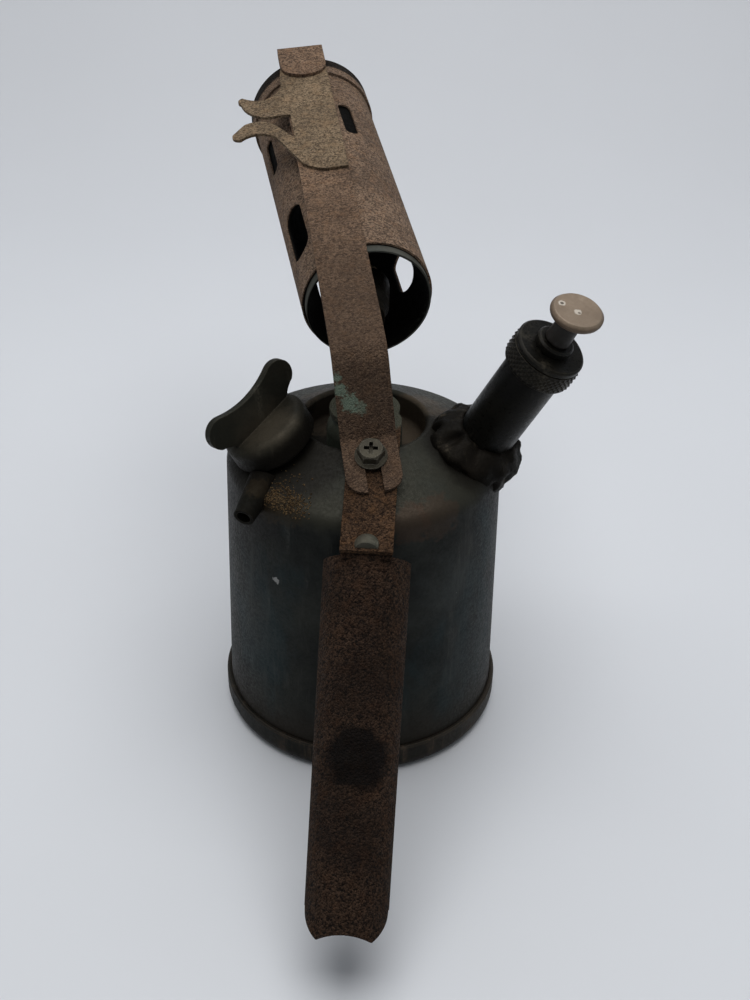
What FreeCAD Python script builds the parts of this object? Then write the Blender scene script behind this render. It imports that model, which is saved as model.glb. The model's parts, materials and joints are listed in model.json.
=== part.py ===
import FreeCAD
import Part
import Sketcher

import math
import os

# Blowlamp: a pressure tank with a carrying grip, an air pump, a filler cap and a hooded burner.
# Millimetres. The origin is on the tank's axis at the floor, +Z is up, the grip lies towards -Y
# and the flame leaves towards +Y.

Vector = FreeCAD.Vector
Rotation = FreeCAD.Rotation
Placement = FreeCAD.Placement

SIZES = [
    # tank and base pan
    ("tank_top_radius", 47.5, "outside of the wall under the shoulder"),
    ("tank_foot_radius", 49.1, "outside of the wall at its lower edge"),
    ("sheet", 1.0, "thickness of the tank's brass sheet"),
    ("shoulder_radius", 5.6, "outer round between wall and dome"),
    ("dome_slope", 25.5, "fall of the dome in degrees"),
    ("rim_radius", 22.2, "radius of the edge between dome and priming dish"),
    ("rim_height", 117.6, "height of that edge"),
    ("dish_depth", 10.0, "depth of the priming dish"),
    ("dish_corner", 2.0, "round between the dish's wall and floor"),
    ("pan_radius", 50.7, "outside of the base pan"),
    ("pan_height", 10.4, "height of the base pan's rim"),
    ("pan_round", 4.5, "round of the pan's lower edge"),
    ("pan_ledge", 2.6, "height of the ledge that the tank's wall stands on"),
    ("foot_inner", 39.0, "inner radius of the flat foot ring"),
    ("hollow_height", 5.0, "rise of the hollow under the pan"),
    ("solder_gap", 0.05, "gap of a soldered lap"),
    # stem and burner feed
    ("spigot_radius", 9.0, "stem boss where it passes the dish"),
    ("spigot_drop", 4.0, "stem boss below the dish floor's top"),
    ("boss_radius", 13.0, "stem boss in the dish"),
    ("boss_rise", 2.4, "boss's top face above the rim of the dish"),
    ("boss_face_radius", 8.5, "flat top face of the boss"),
    ("boss_side", 6.0, "straight side of the boss"),
    ("feed_radius", 4.5, "outside of the riser tube"),
    ("feed_bore", 2.8, "bore radius of the riser tube"),
    ("feed_fit", 0.08, "radial gap round the riser"),
    ("feed_lift", 0.3, "riser between the stem nut and its bend"),
    ("feed_bend", 7.0, "bend radius of the riser"),
    ("feed_reach", 44.0, "burner tube from the elbow point to the burner"),
    ("feed_socket", 7.0, "riser inside the burner"),
    ("gland_across", 14.0, "stem nut across flats"),
    ("gland_height", 3.6, "stem nut"),
    ("pickup_radius", 3.2, "outside of the fuel pickup tube"),
    ("pickup_bore", 2.2, "bore radius of the pickup tube"),
    ("pickup_foot", 14.0, "height of the pickup tube's lower end"),
    ("wick_length", 46.0, "cotton wick in the pickup tube"),
    ("burner_radius", 8.0, "burner body"),
    ("burner_hub", 6.5, "burner's rear hub radius"),
    ("burner_length", 26.0, "burner body"),
    ("burner_nose", 5.0, "burner's front face radius"),
    ("jet_radius", 2.6, "jet nipple's stem"),
    ("jet_length", 8.0, "jet nipple in front of the burner"),
    ("jet_seat", 6.0, "depth of the nipple's stem in the burner"),
    ("jet_hole", 0.5, "jet hole radius"),
    # hood with strap and iron rest
    ("screw_x", 3.9, "clamp screw's place across"),
    ("screw_y", -25.85, "clamp screw's place along"),
    ("hood_swing", 11.3, "swing of the hood about the clamp screw in degrees"),
    ("hood_crook", 3.4, "hood's twist on its strap in degrees"),
    ("hood_rise", 11.35, "rise of the hood in degrees"),
    ("hood_radius", 24.0, "outside of the hood"),
    ("hood_sheet", 1.0, "hood's sheet"),
    ("hood_length", 130.0, "hood tube"),
    ("hood_shift", 1.0, "hood beside the strap at its mouth"),
    ("hood_rear_y", 48.9, "hood's rear face on its axis, before the swing"),
    ("hood_rear_rise", 20.8, "the same point above the rim of the dish"),
    ("mouth_overlap", 8.0, "mouth ring over the tube's end"),
    ("mouth_length", 11.0, "mouth ring"),
    ("mouth_sheet", 0.9, "mouth ring's sheet"),
    ("mouth_lip", 1.6, "inward lip of the mouth ring"),
    ("liner_length", 105.0, "inner liner"),
    ("liner_sheet", 0.8, "liner's sheet"),
    ("liner_proud", 3.5, "liner behind the hood's rear edge"),
    ("lap_gap", 0.1, "gap between lapped hood pieces"),
    ("saddle_gap", 0.25, "gap between hood and strap"),
    ("air_width", 11.5, "large air slot across"),
    ("air_corner", 5.2, "large air slot's corner round"),
    ("air_left_angle", -60.0, "upper left air slot round the axis"),
    ("air_left_start", 15.5, "upper left air slot from the rear edge"),
    ("air_left_length", 29.0, "upper left air slot along"),
    ("air_low_angle", -156.0, "lower left air slot round the axis"),
    ("air_low_start", 24.0, "lower left air slot from the rear edge"),
    ("air_low_length", 37.5, "lower left air slot along"),
    ("air_right_angle", 120.0, "lower right air slot round the axis"),
    ("air_right_start", 18.0, "lower right air slot from the rear edge"),
    ("air_right_length", 23.0, "lower right air slot along"),
    ("vent_width", 5.4, "narrow mouth slot across"),
    ("vent_length", 22.0, "narrow mouth slot along"),
    ("vent_start", 76.0, "narrow mouth slot from the rear edge"),
    ("vent_corner", 2.4, "narrow mouth slot's corner round"),
    ("vent_angle", -66.4, "first narrow slot round the axis"),
    ("vent_spread", 180.0, "angle from the first to the last narrow slot"),
    ("vent_count", 3, "narrow slots"),
    ("strap_width", 18.5, "strap"),
    ("strap_sheet", 1.3, "strap's thickness"),
    ("strap_lean", 75.0, "rise of the strap's steep part in degrees"),
    ("strap_slope", 16.9, "rise of the strap between its knee and the hood"),
    ("knee_lift", 32.6, "strap's knee corner above the rim of the dish"),
    ("heel_bend", 2.0, "bend radius above the fork"),
    ("heel_room", 1.3, "fork between the screw's flange and the bend corner"),
    ("knee_bend", 9.0, "bend radius at the knee"),
    ("saddle_bend", 60.0, "bend radius where the strap comes down on the hood"),
    ("fork_reach", 13.5, "fork from the screw to the prong tips"),
    ("fork_slot", 5.2, "fork slot"),
    ("fork_corner", 6.2, "round of the prong tips"),
    ("strap_turn", 0.0, "strap's lower part against the hood's swing in degrees"),
    ("strap_crook", 0.5, "strap's upper part on the hood in degrees"),
    ("strap_shift", -0.95, "strap's upper part across at the mouth"),
    ("strap_joint", 30.0, "place of the bend between both parts from the hood's rear edge"),
    ("strap_overhang", 2.6, "strap past the mouth before it folds back"),
    ("tab_length", 22.0, "folded tab"),
    ("rest_sheet", 1.1, "iron rest's sheet"),
    ("fold_gap", 0.08, "gap between strap, rest and tab"),
    # bracket, grip and fastenings
    ("handle_x", 4.5, "bracket and grip beside the axis"),
    ("bracket_sheet", 2.0, "bracket's thickness"),
    ("bracket_lift", 0.35, "bracket above the dome's edge"),
    ("bracket_end", 57.0, "bracket's outer end from the axis"),
    ("bracket_bend", 12.0, "bend radius between ring and slope"),
    ("bracket_width", 16.9, "bracket"),
    ("ring_radius", 12.0, "bracket's ring round the riser"),
    ("ring_corner", 8.0, "round of the bracket's corners at the ring"),
    ("screw_radius", 2.5, "clamp screw's shank"),
    ("screw_fit", 0.05, "radial gap of the screw in the bracket"),
    ("flange_radius", 5.4, "clamp screw's flange"),
    ("flange_height", 1.3, "clamp screw's flange"),
    ("hex_across", 8.0, "clamp screw's hexagon across flats"),
    ("hex_height", 4.2, "clamp screw's hexagon"),
    ("crown_share", 0.46, "flat of the hexagon's top as a share of its width"),
    ("crown_drop", 1.2, "chamfer of the hexagon's corners"),
    ("cross_depth", 2.0, "cross recess"),
    ("cross_width", 1.3, "cross recess"),
    ("cross_span", 4.6, "cross recess"),
    ("grip_slope", 41.0, "fall of the grip in degrees"),
    ("grip_length", 117.0, "grip along its crest"),
    ("grip_top_radius", 14.7, "grip's section at the bracket"),
    ("grip_end_radius", 12.9, "grip's section at its end"),
    ("grip_depth", 11.0, "depth of the channel"),
    ("grip_sheet", 1.4, "grip's sheet"),
    ("grip_corner", 9.5, "cut corners of the grip's end, along"),
    ("grip_corner_across", 4.2, "cut corners of the grip's end, across"),
    ("grip_corner_radius", 12.0, "round of those corners"),
    ("grip_notch_half", 8.0, "half width of the hollow in the grip's end"),
    ("grip_notch_radius", 19.7, "round of that hollow"),
    ("tang_length", 8.5, "grip's tang under the bracket"),
    ("tang_width", 16.4, "grip's tang"),
    ("rivet_radius", 1.6, "handle rivet's shank"),
    ("rivet_head", 3.9, "handle rivet's head radius"),
    ("rivet_rise", 2.0, "handle rivet's head height"),
    ("rivet_inset", 2.2, "handle rivet from the bracket's end"),
    ("rivet_fit", 0.02, "radial gap of the rivet"),
    # filler
    ("filler_x", -28.8, "filler's seat on the dome"),
    ("filler_y", -12.4, "filler's seat on the dome"),
    ("filler_lean", 28.0, "lean of the filler's axis from upright"),
    ("filler_azimuth", -159.0, "direction that the filler leans to"),
    ("neck_radius", 11.8, "filler neck"),
    ("neck_spigot", 6.2, "filler neck where it passes the dome"),
    ("neck_bore", 4.8, "filler neck's bore radius"),
    ("spigot_depth", 4.2, "filler neck's spigot below the dome"),
    ("neck_top", 7.2, "neck's rim above its seat"),
    ("neck_depth", 3.2, "neck's wide part below its seat, cut to the dome"),
    ("cap_radius", 15.0, "filler cap"),
    ("cap_height", 10.0, "filler cap"),
    ("cap_round", 3.2, "round of the cap's top edge"),
    ("cap_foot", 1.0, "cap's lower edge above the seat"),
    ("cap_clearance", 0.1, "radial gap between cap and neck"),
    ("washer_sheet", 1.6, "filler washer"),
    ("wing_turn", 26.0, "turn of the wing about the cap's axis"),
    ("wing_sheet", 2.6, "wing's thickness"),
    ("wing_root", 11.0, "half length of the wing's root"),
    ("wing_lobe_reach", 13.8, "lobes' centres from the cap's axis"),
    ("wing_lobe_height", 8.0, "lobes' centres above the cap's top"),
    ("wing_lobe_radius", 5.5, "round of the lobes"),
    ("wing_lobe_start", -53.0, "where the lobe's round starts, in degrees"),
    ("wing_lobe_end", 115.0, "where the lobe's round ends, in degrees"),
    ("wing_dip_radius", 28.0, "hollow between the lobes"),
    ("wing_flare_radius", 12.0, "hollow under the lobes"),
    # vent spout
    ("spout_x", -32.8, "spout's root"),
    ("spout_y", -29.5, "spout's root"),
    ("spout_drop", 12.0, "spout's root below the rim of the dish"),
    ("spout_azimuth", 72.0, "direction from the spout's mouth to its root"),
    ("spout_fall", 17.0, "fall of the spout in degrees"),
    ("spout_radius", 3.5, "spout's mouth outside"),
    ("spout_root", 5.4, "spout's root outside"),
    ("spout_bore", 2.4, "spout's bore radius"),
    ("spout_length", 12.6, "spout"),
    ("spout_room", 0.6, "gap between the spout and the filler cap"),
    # pump
    ("pump_x", 38.4, "pump's seat on the dome"),
    ("pump_y", -2.5, "pump's seat on the dome"),
    ("pump_sink", 0.8, "pump's seat below the dome's face"),
    ("pump_lean", 28.2, "lean of the pump's axis from upright"),
    ("pump_azimuth", -30.4, "direction that the pump leans to"),
    ("barrel_radius", 9.7, "pump barrel"),
    ("barrel_sheet", 1.0, "pump barrel's wall"),
    ("barrel_top", 45.0, "barrel's rim above the seat"),
    ("barrel_drop", 66.0, "barrel below the seat"),
    ("pump_collar", 15.8, "soldered collar round the barrel"),
    ("pump_collar_drop", 6.5, "soldered collar below the seat"),
    ("pump_collar_top", 11.6, "soldered collar's top radius"),
    ("pump_collar_rise", 9.0, "soldered collar above the seat"),
    ("pump_cap_radius", 11.75, "pump cap"),
    ("pump_cap_foot", 43.0, "pump cap's lower edge above the seat"),
    ("pump_cap_height", 10.0, "pump cap"),
    ("pump_cap_lip", 1.9, "plain lip at the pump cap's top"),
    ("pump_cap_groove", 0.6, "depth of the groove between knurl and lip"),
    ("collar_radius", 6.3, "gland on the pump cap"),
    ("gland_rise", 3.2, "gland on the pump cap"),
    ("rod_radius", 3.0, "pump rod"),
    ("rod_fit", 0.1, "radial gap of the rod in its gland"),
    ("knob_radius", 8.6, "pump knob"),
    ("knob_sheet", 3.0, "pump knob's disc"),
    ("knob_rise", 12.0, "knob's disc above its seat"),
    ("knob_neck", 4.3, "knob's neck at its foot"),
    ("knob_waist", 3.7, "knob's neck under the disc"),
    ("knob_gap", 0.3, "knob above the gland when it is down"),
    ("knob_tilt", 12.5, "tilt of the knob's disc on the rod"),
    ("knob_tilt_turn", -62.6, "direction of that tilt about the pump's axis"),
    ("cup_length", 7.0, "leather piston cup"),
    ("cup_sheet", 1.5, "leather"),
    ("cup_fit", 0.12, "radial gap of the cup in the barrel"),
    ("piston_room", 17.0, "piston cup above the barrel's lower end"),
    ("plate_radius", 5.5, "piston washer"),
    ("plate_sheet", 1.5, "piston washer"),
    ("piston_nut_across", 8.0, "piston nut across flats"),
    ("piston_nut_height", 3.5, "piston nut"),
    # check valve at the barrel's foot
    ("valve_length", 9.0, "valve body inside the barrel"),
    ("valve_port", 1.6, "valve's air hole"),
    ("valve_room", 4.2, "valve chamber's radius"),
    ("valve_room_depth", 6.5, "valve chamber"),
    ("valve_disc_radius", 3.6, "valve disc"),
    ("valve_disc_sheet", 1.5, "valve disc"),
    ("valve_gap", 0.1, "valve disc below its seat when shut"),
    ("plug_length", 4.0, "valve plug"),
]

# Corners of the iron rest: across from the strap's middle and along from the hood's rear edge,
# then the radius of the stretch that starts there and the side that its centre lies on.
REST_OUTLINE = [
    (9.2, 46.5, 0, 0),
    (9.2, 127.0, 0, 0),
    (-9.0, 127.0, 0, 0),
    (-10.4, 113.0, 13.0, -1),
    (-19.0, 98.8, 14.0, -1),
    (-26.4, 102.2, 2.7, 1),
    (-27.2, 97.6, 14.0, 1),
    (-17.7, 85.7, 20.0, -1),
    (-8.7, 86.3, 0, 0),
    (-8.7, 69.2, 0, 0),
    (-15.0, 79.5, 8.6, 1),
    (-27.2, 82.0, 0, 0),
    (-31.6, 76.2, 2.7, 1),
    (-29.0, 71.8, 8.4, -1),
    (-15.5, 70.8, 0, 0),
    (-7.3, 51.0, 13.0, 1),
    (1.0, 46.0, 0, 0),
]
for number, (across, distance, radius, side) in enumerate(REST_OUTLINE, start=1):
    SIZES.append(("rest_across_%d" % number, across, "iron rest's corner across"))
    SIZES.append(("rest_along_%d" % number, distance, "iron rest's corner along"))
    if radius:
        SIZES.append(("rest_round_%d" % number, radius, "iron rest's round after that corner"))

doc = FreeCAD.newDocument("blowlamp")
sheet = doc.addObject("Spreadsheet::Sheet", "Sizes")
for row, (alias, number, meaning) in enumerate(SIZES, start=1):
    sheet.set("A%d" % row, alias)
    sheet.set("B%d" % row, str(number))
    sheet.set("C%d" % row, meaning)
    sheet.setAlias("B%d" % row, alias)
doc.recompute()


# A number together with the sheet expression that gives it.
class Size:
    def __init__(self, value, text):
        self.value = value
        self.text = text

    def __add__(self, other):
        other = as_size(other)
        return Size(self.value + other.value, "(%s + %s)" % (self.text, other.text))

    def __sub__(self, other):
        other = as_size(other)
        return Size(self.value - other.value, "(%s - %s)" % (self.text, other.text))

    def __mul__(self, other):
        other = as_size(other)
        return Size(self.value * other.value, "(%s * %s)" % (self.text, other.text))

    def __truediv__(self, other):
        other = as_size(other)
        return Size(self.value / other.value, "(%s / %s)" % (self.text, other.text))

    def __neg__(self):
        return Size(-self.value, "(0 - %s)" % self.text)


def as_size(number):
    return number if isinstance(number, Size) else Size(float(number), repr(float(number)))


def of(alias):
    return Size(float(sheet.get(alias)), "Sizes." + alias)


def sine(angle):
    return Size(math.sin(math.radians(angle.value)), "sin(%s)" % angle.text)


def cosine(angle):
    return Size(math.cos(math.radians(angle.value)), "cos(%s)" % angle.text)


def tangent(angle):
    return Size(math.tan(math.radians(angle.value)), "tan(%s)" % angle.text)


def arctangent(ratio):
    return Size(math.degrees(math.atan(ratio.value)), "(atan(%s) / (1 deg))" % ratio.text)


def root(area):
    return Size(math.sqrt(area.value), "sqrt(%s)" % area.text)


NODES = []


def node(obj, name):
    obj.Label = name
    NODES.append(obj)
    return obj


def bind(obj, **sizes):
    for name, size in sizes.items():
        obj.setExpression(name, as_size(size).text)
    return obj


def seat(obj, place):
    for name, size in place.items():
        obj.setExpression("Placement." + name, as_size(size).text)
    return obj


def plane_of(body, role):
    return [feature for feature in body.Origin.OriginFeatures if feature.Role == role][0]


def new_sketch(body, role, name):
    sketch = body.newObject("Sketcher::SketchObject", name)
    sketch.AttachmentSupport = [(plane_of(body, role), "")]
    sketch.MapMode = "FlatFace"
    return sketch


def pin_point(sketch, geometry, position, corner):
    # Ties one end point to the sketch's origin across and up.
    for axis, kind, size in ((-2, "DistanceX", corner[0]), (-1, "DistanceY", corner[1])):
        size = as_size(size)
        if size.value == 0.0 and "Sizes" not in size.text:
            sketch.addConstraint(Sketcher.Constraint("PointOnObject", geometry, position, axis))
        else:
            index = sketch.addConstraint(
                Sketcher.Constraint(kind, -1, 1, geometry, position, size.value))
            sketch.setExpression("Constraints[%d]" % index, size.text)


def arc_between(start, end, radius, side):
    # Short arc from start to end; side +1 has its centre to the left of the way, -1 to the right.
    half = (end - start) * 0.5
    height = math.sqrt(max(radius * radius - half.Length ** 2, 0.0))
    left = Vector(-half.y, half.x, 0).normalize()
    centre = start + half + left * (height * side)
    first, last = (start, end) if side > 0 else (end, start)
    angle_first = math.atan2(first.y - centre.y, first.x - centre.x)
    angle_last = math.atan2(last.y - centre.y, last.x - centre.x)
    circle = Part.Circle(centre, Vector(0, 0, 1), radius)
    return Part.ArcOfCircle(circle, angle_first, angle_last)


def draw_chain(sketch, corners, closed=True):
    # Lines between corners; a corner with a radius and a side starts an arc.
    points = [Vector(as_size(c[0]).value, as_size(c[1]).value, 0) for c in corners]
    count = len(corners) if closed else len(corners) - 1
    ends = []
    base = sketch.GeometryCount
    for index in range(count):
        start = points[index]
        end = points[(index + 1) % len(points)]
        geometry = base + index
        if len(corners[index]) > 2:
            radius = as_size(corners[index][2])
            side = corners[index][3]
            sketch.addGeometry(arc_between(start, end, radius.value, side))
            turn = sketch.addConstraint(Sketcher.Constraint("Radius", geometry, radius.value))
            sketch.setExpression("Constraints[%d]" % turn, radius.text)
            ends.append((1, 2) if side > 0 else (2, 1))
        else:
            sketch.addGeometry(Part.LineSegment(start, end))
            ends.append((1, 2))
    for index in range(count):
        after = index + 1
        if after == count and not closed:
            break
        after = after % count
        sketch.addConstraint(Sketcher.Constraint(
            "Coincident", base + index, ends[index][1], base + after, ends[after][0]))
    for index in range(count):
        pin_point(sketch, base + index, ends[index][0], corners[index])
    if not closed:
        pin_point(sketch, base + count - 1, ends[-1][1], corners[-1])
    return sketch


def draw_circle(sketch, radius):
    radius = as_size(radius)
    geometry = sketch.addGeometry(Part.Circle(Vector(0, 0, 0), Vector(0, 0, 1), radius.value))
    sketch.addConstraint(Sketcher.Constraint("Coincident", geometry, 3, -1, 1))
    index = sketch.addConstraint(Sketcher.Constraint("Radius", geometry, radius.value))
    sketch.setExpression("Constraints[%d]" % index, radius.text)


def turned(name, corners):
    # A piece turned about its own Z axis; corners are radius and height.
    body = doc.addObject("PartDesign::Body", name)
    sketch = draw_chain(new_sketch(body, "XZ_Plane", name + "_outline"), corners)
    spin = body.newObject("PartDesign::Revolution", name + "_turning")
    spin.Profile = sketch
    spin.ReferenceAxis = (sketch, ["V_Axis"])
    spin.Angle = 360
    return body


def tube(name, outer, inner, low, high):
    return turned(name, [(inner, low), (outer, low), (outer, high), (inner, high)])


def padded(body, sketch, thickness, name, symmetric=True):
    pad = body.newObject("PartDesign::Pad", name)
    pad.Profile = sketch
    if symmetric:
        pad.SideType = "Symmetric"
    bind(pad, Length=thickness)
    return pad


def slot_corners(half_width, low, high, corner):
    return [
        (corner - half_width, low),
        (half_width - corner, low, corner, 1),
        (half_width, low + corner),
        (half_width, high - corner, corner, 1),
        (half_width - corner, high),
        (corner - half_width, high, corner, 1),
        (-half_width, high - corner),
        (-half_width, low + corner, corner, 1),
    ]


def cut_slot(body, name, angle, corners, reach):
    # A slot through one side of a tube; the cut runs outwards from the axis.
    sketch = new_sketch(body, "XZ_Plane", name + "_outline")
    sketch.AttachmentOffset = Placement(Vector(0, 0, 0), Rotation(Vector(0, 1, 0), angle.value))
    sketch.setExpression("AttachmentOffset.Rotation.Angle", angle.text)
    draw_chain(sketch, corners)
    cut = body.newObject("PartDesign::Pocket", name)
    cut.Profile = sketch
    cut.Reversed = True
    bind(cut, Length=reach)
    return cut


def cylinder(name, radius, height, place):
    rod = doc.addObject("Part::Cylinder", name)
    bind(rod, Radius=radius, Height=height)
    return seat(rod, place)


def hexagon(name, across, height, place):
    prism = doc.addObject("Part::Prism", name)
    prism.Polygon = 6
    bind(prism, Circumradius=across / cosine(as_size(30)) / 2, Height=height)
    return seat(prism, place)


def cut_from(name, base, tools):
    whole = base
    for index, tool in enumerate(tools):
        cut = doc.addObject("Part::Cut", "%s_cut_%d" % (name, index))
        cut.Base = whole
        cut.Tool = tool
        whole = cut
    return whole


def fused(name, pieces):
    whole = doc.addObject("Part::MultiFuse", name + "_whole")
    whole.Shapes = pieces
    whole.Refine = True
    return whole


def dome_height(x, y):
    reach = root(x * x + y * y)
    return of("rim_height") - (reach - of("rim_radius")) * tangent(of("dome_slope"))


def leaning(x, y, z, lean, azimuth):
    return {
        "Base.x": x, "Base.y": y, "Base.z": z,
        "Rotation.Yaw": azimuth, "Rotation.Pitch": lean,
    }


def along(place, distance):
    # The same leaning place, moved along its axis.
    lean = place["Rotation.Pitch"]
    azimuth = place["Rotation.Yaw"]
    moved = dict(place)
    moved["Base.x"] = place["Base.x"] + distance * sine(lean) * cosine(azimuth)
    moved["Base.y"] = place["Base.y"] + distance * sine(lean) * sine(azimuth)
    moved["Base.z"] = place["Base.z"] + distance * cosine(lean)
    return moved


# Tank shell: one drawn brass sheet with wall, dome and priming dish.
zero = as_size(0)
sheet_gauge = of("sheet")
dish_floor = of("rim_height") - of("dish_depth")
dish_wall = of("rim_radius") - sheet_gauge * 1.2
shoulder_reach = of("shoulder_radius") * tangent((as_size(90) - of("dome_slope")) / 2)
shoulder_in = of("tank_top_radius") - shoulder_reach * cosine(of("dome_slope"))
shoulder_top = of("rim_height") - (shoulder_in - of("rim_radius")) * tangent(of("dome_slope"))
wall_top = shoulder_top - shoulder_reach * (sine(of("dome_slope")) + 1)
rim_fall = sheet_gauge * 0.7
rim_out = of("rim_radius") + rim_fall
rim_out_height = of("rim_height") - rim_fall * tangent(of("dome_slope"))
outer_dome = [
    (rim_out, rim_out_height),
    (shoulder_in, shoulder_top, of("shoulder_radius"), -1),
    (of("tank_top_radius"), wall_top),
    (of("tank_foot_radius"), of("pan_ledge")),
]
tank_turned = turned("tank_turned", [
    (of("spigot_radius"), dish_floor),
    (dish_wall - of("dish_corner"), dish_floor, of("dish_corner"), 1),
    (dish_wall, dish_floor + of("dish_corner")),
    (dish_wall, rim_out_height - sheet_gauge * 0.9, sheet_gauge * 1.4, -1),
] + outer_dome + [
    (of("tank_foot_radius") - sheet_gauge, of("pan_ledge")),
    (of("tank_top_radius") - sheet_gauge, wall_top, of("shoulder_radius") - sheet_gauge, 1),
    (shoulder_in - sheet_gauge * sine(of("dome_slope")),
     shoulder_top - sheet_gauge * cosine(of("dome_slope"))),
    (dish_wall + sheet_gauge, rim_out_height - sheet_gauge * 0.8),
    (dish_wall + sheet_gauge, dish_floor + of("dish_corner"), of("dish_corner") + sheet_gauge, -1),
    (dish_wall - of("dish_corner"), dish_floor - sheet_gauge),
    (of("spigot_radius"), dish_floor - sheet_gauge),
])
tank_form = turned("tank_form", [
    (zero, of("rim_height")),
    (rim_out, of("rim_height")),
] + outer_dome + [
    (zero, of("pan_ledge")),
])

# Base pan: pressed pan lapped over the foot of the wall.
wall_slack = of("solder_gap")
pan_inside = of("tank_foot_radius") + wall_slack
pan_sheet = sheet_gauge * 1.3
base_pan = node(turned("pan_turned", [
    (zero, of("hollow_height")),
    (of("foot_inner") - of("hollow_height") * 0.6, of("hollow_height")),
    (of("foot_inner"), zero),
    (of("pan_radius") - of("pan_round"), zero, of("pan_round"), 1),
    (of("pan_radius"), of("pan_round")),
    (of("pan_radius"), of("pan_height") - 0.6),
    (of("pan_radius") - 0.6, of("pan_height")),
    (pan_inside, of("pan_height")),
    (pan_inside, of("pan_ledge")),
    (of("tank_foot_radius") - sheet_gauge * 1.6, of("pan_ledge")),
    (of("tank_foot_radius") - sheet_gauge * 2.8, pan_sheet),
    (of("foot_inner") + pan_sheet * 0.6, pan_sheet),
    (of("foot_inner") + pan_sheet * 0.6 - of("hollow_height") * 0.6, of("hollow_height") + pan_sheet),
    (zero, of("hollow_height") + pan_sheet),
]), "base_pan")

# Pump and filler stand on the dome and lean outwards.
pump_level = dome_height(of("pump_x"), of("pump_y")) - of("pump_sink")
pump_place = leaning(of("pump_x"), of("pump_y"), pump_level, of("pump_lean"), of("pump_azimuth"))
filler_place = leaning(of("filler_x"), of("filler_y"), dome_height(of("filler_x"), of("filler_y")),
                       of("filler_lean"), of("filler_azimuth"))
spout_place = leaning(of("spout_x"), of("spout_y"), of("rim_height") - of("spout_drop"),
                      as_size(90) - of("spout_fall"), of("spout_azimuth"))
hole_depth = of("boss_radius")
pump_hole = cylinder("pump_hole", of("barrel_radius") + wall_slack, hole_depth * 3,
                     along(pump_place, -hole_depth * 2))
filler_hole = cylinder("filler_hole", of("neck_spigot") + wall_slack, of("spigot_depth") * 2.5,
                       along(filler_place, -of("spigot_depth")))
spout_hole = cylinder("spout_hole", of("spout_bore"), of("spout_length"),
                      along(spout_place, -of("spout_length") / 2))
tank_shell = node(cut_from("tank", tank_turned, [pump_hole, filler_hole, spout_hole]), "tank_shell")

# Stem: boss in the dish, riser with its elbow, nut, fuel pickup and wick.
feed_hole = of("feed_radius") + of("feed_fit")
boss_top = of("rim_height") + of("boss_rise")
stem_boss = node(turned("boss_turned", [
    (feed_hole, dish_floor - of("spigot_drop")),
    (of("spigot_radius") - wall_slack, dish_floor - of("spigot_drop")),
    (of("spigot_radius") - wall_slack, dish_floor),
    (of("boss_radius"), dish_floor),
    (of("boss_radius"), dish_floor + of("boss_side"), of("boss_radius") * 0.6, 1),
    (of("boss_face_radius"), boss_top),
    (feed_hole, boss_top),
]), "stem_boss")

bracket_ring_top = boss_top + of("bracket_sheet")
nut_blank = hexagon("stem_nut_blank", of("gland_across"), of("gland_height"),
                    {"Base.z": bracket_ring_top})
nut_bore = cylinder("stem_nut_bore", feed_hole, of("gland_height"), {"Base.z": bracket_ring_top})
stem_nut = node(cut_from("stem_nut", nut_blank, [nut_bore]), "stem_nut")

# Bracket: a strip with a ring round the riser, bent down over the dome.
slope = of("dome_slope").value
strip = of("bracket_sheet").value
slope_rise = math.tan(math.radians(slope))
bracket_lift = of("bracket_lift").value


def under_bracket(y):
    return of("rim_height").value + bracket_lift - (-y - of("rim_radius").value) * slope_rise


def bent_sheet(corners, radii, thickness, width, middle):
    # A strip bent in the YZ plane: corners lie on its guiding face, the sheet stands to the
    # left of the way where its thickness is positive, and middle is its place across.
    points = [Vector(0, y, z) for y, z in corners]
    edges = []
    begin = points[0]
    for index in range(1, len(points) - 1):
        back = (points[index - 1] - points[index]).normalize()
        ahead = (points[index + 1] - points[index]).normalize()
        half = math.acos(max(-1.0, min(1.0, back.dot(ahead)))) / 2
        reach = radii[index - 1] / math.tan(half)
        enter = points[index] + back * reach
        leave = points[index] + ahead * reach
        toward = (back + ahead).normalize()
        crown = points[index] + toward * (radii[index - 1] / math.sin(half) - radii[index - 1])
        edges.append(Part.LineSegment(begin, enter).toShape())
        edges.append(Part.Arc(enter, crown, leave).toShape())
        begin = leave
    edges.append(Part.LineSegment(begin, points[-1]).toShape())
    return thicken(edges, thickness, width, middle)


def thicken(edges, thickness, width, middle):
    faces = []
    for edge in edges:
        start = edge.valueAt(edge.FirstParameter)
        end = edge.valueAt(edge.LastParameter)
        ahead_start = edge.tangentAt(edge.FirstParameter)
        ahead_end = edge.tangentAt(edge.LastParameter)
        left_start = Vector(0, -ahead_start.z, ahead_start.y) * thickness
        left_end = Vector(0, -ahead_end.z, ahead_end.y) * thickness
        sides = [edge, Part.LineSegment(end, end + left_end).toShape()]
        if isinstance(edge.Curve, Part.Circle):
            crown = edge.valueAt((edge.FirstParameter + edge.LastParameter) / 2)
            ahead = edge.tangentAt((edge.FirstParameter + edge.LastParameter) / 2)
            left = Vector(0, -ahead.z, ahead.y) * thickness
            sides.append(Part.Arc(end + left_end, crown + left, start + left_start).toShape())
        else:
            sides.append(Part.LineSegment(end + left_end, start + left_start).toShape())
        sides.append(Part.LineSegment(start + left_start, start).toShape())
        face = Part.Face(Part.Wire(Part.__sortEdges__(sides)))
        face.translate(Vector(middle - width / 2, 0, 0))
        faces.append(face.extrude(Vector(width, 0, 0)))
    return faces[0].fuse(faces[1:]).removeSplitter()


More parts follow.
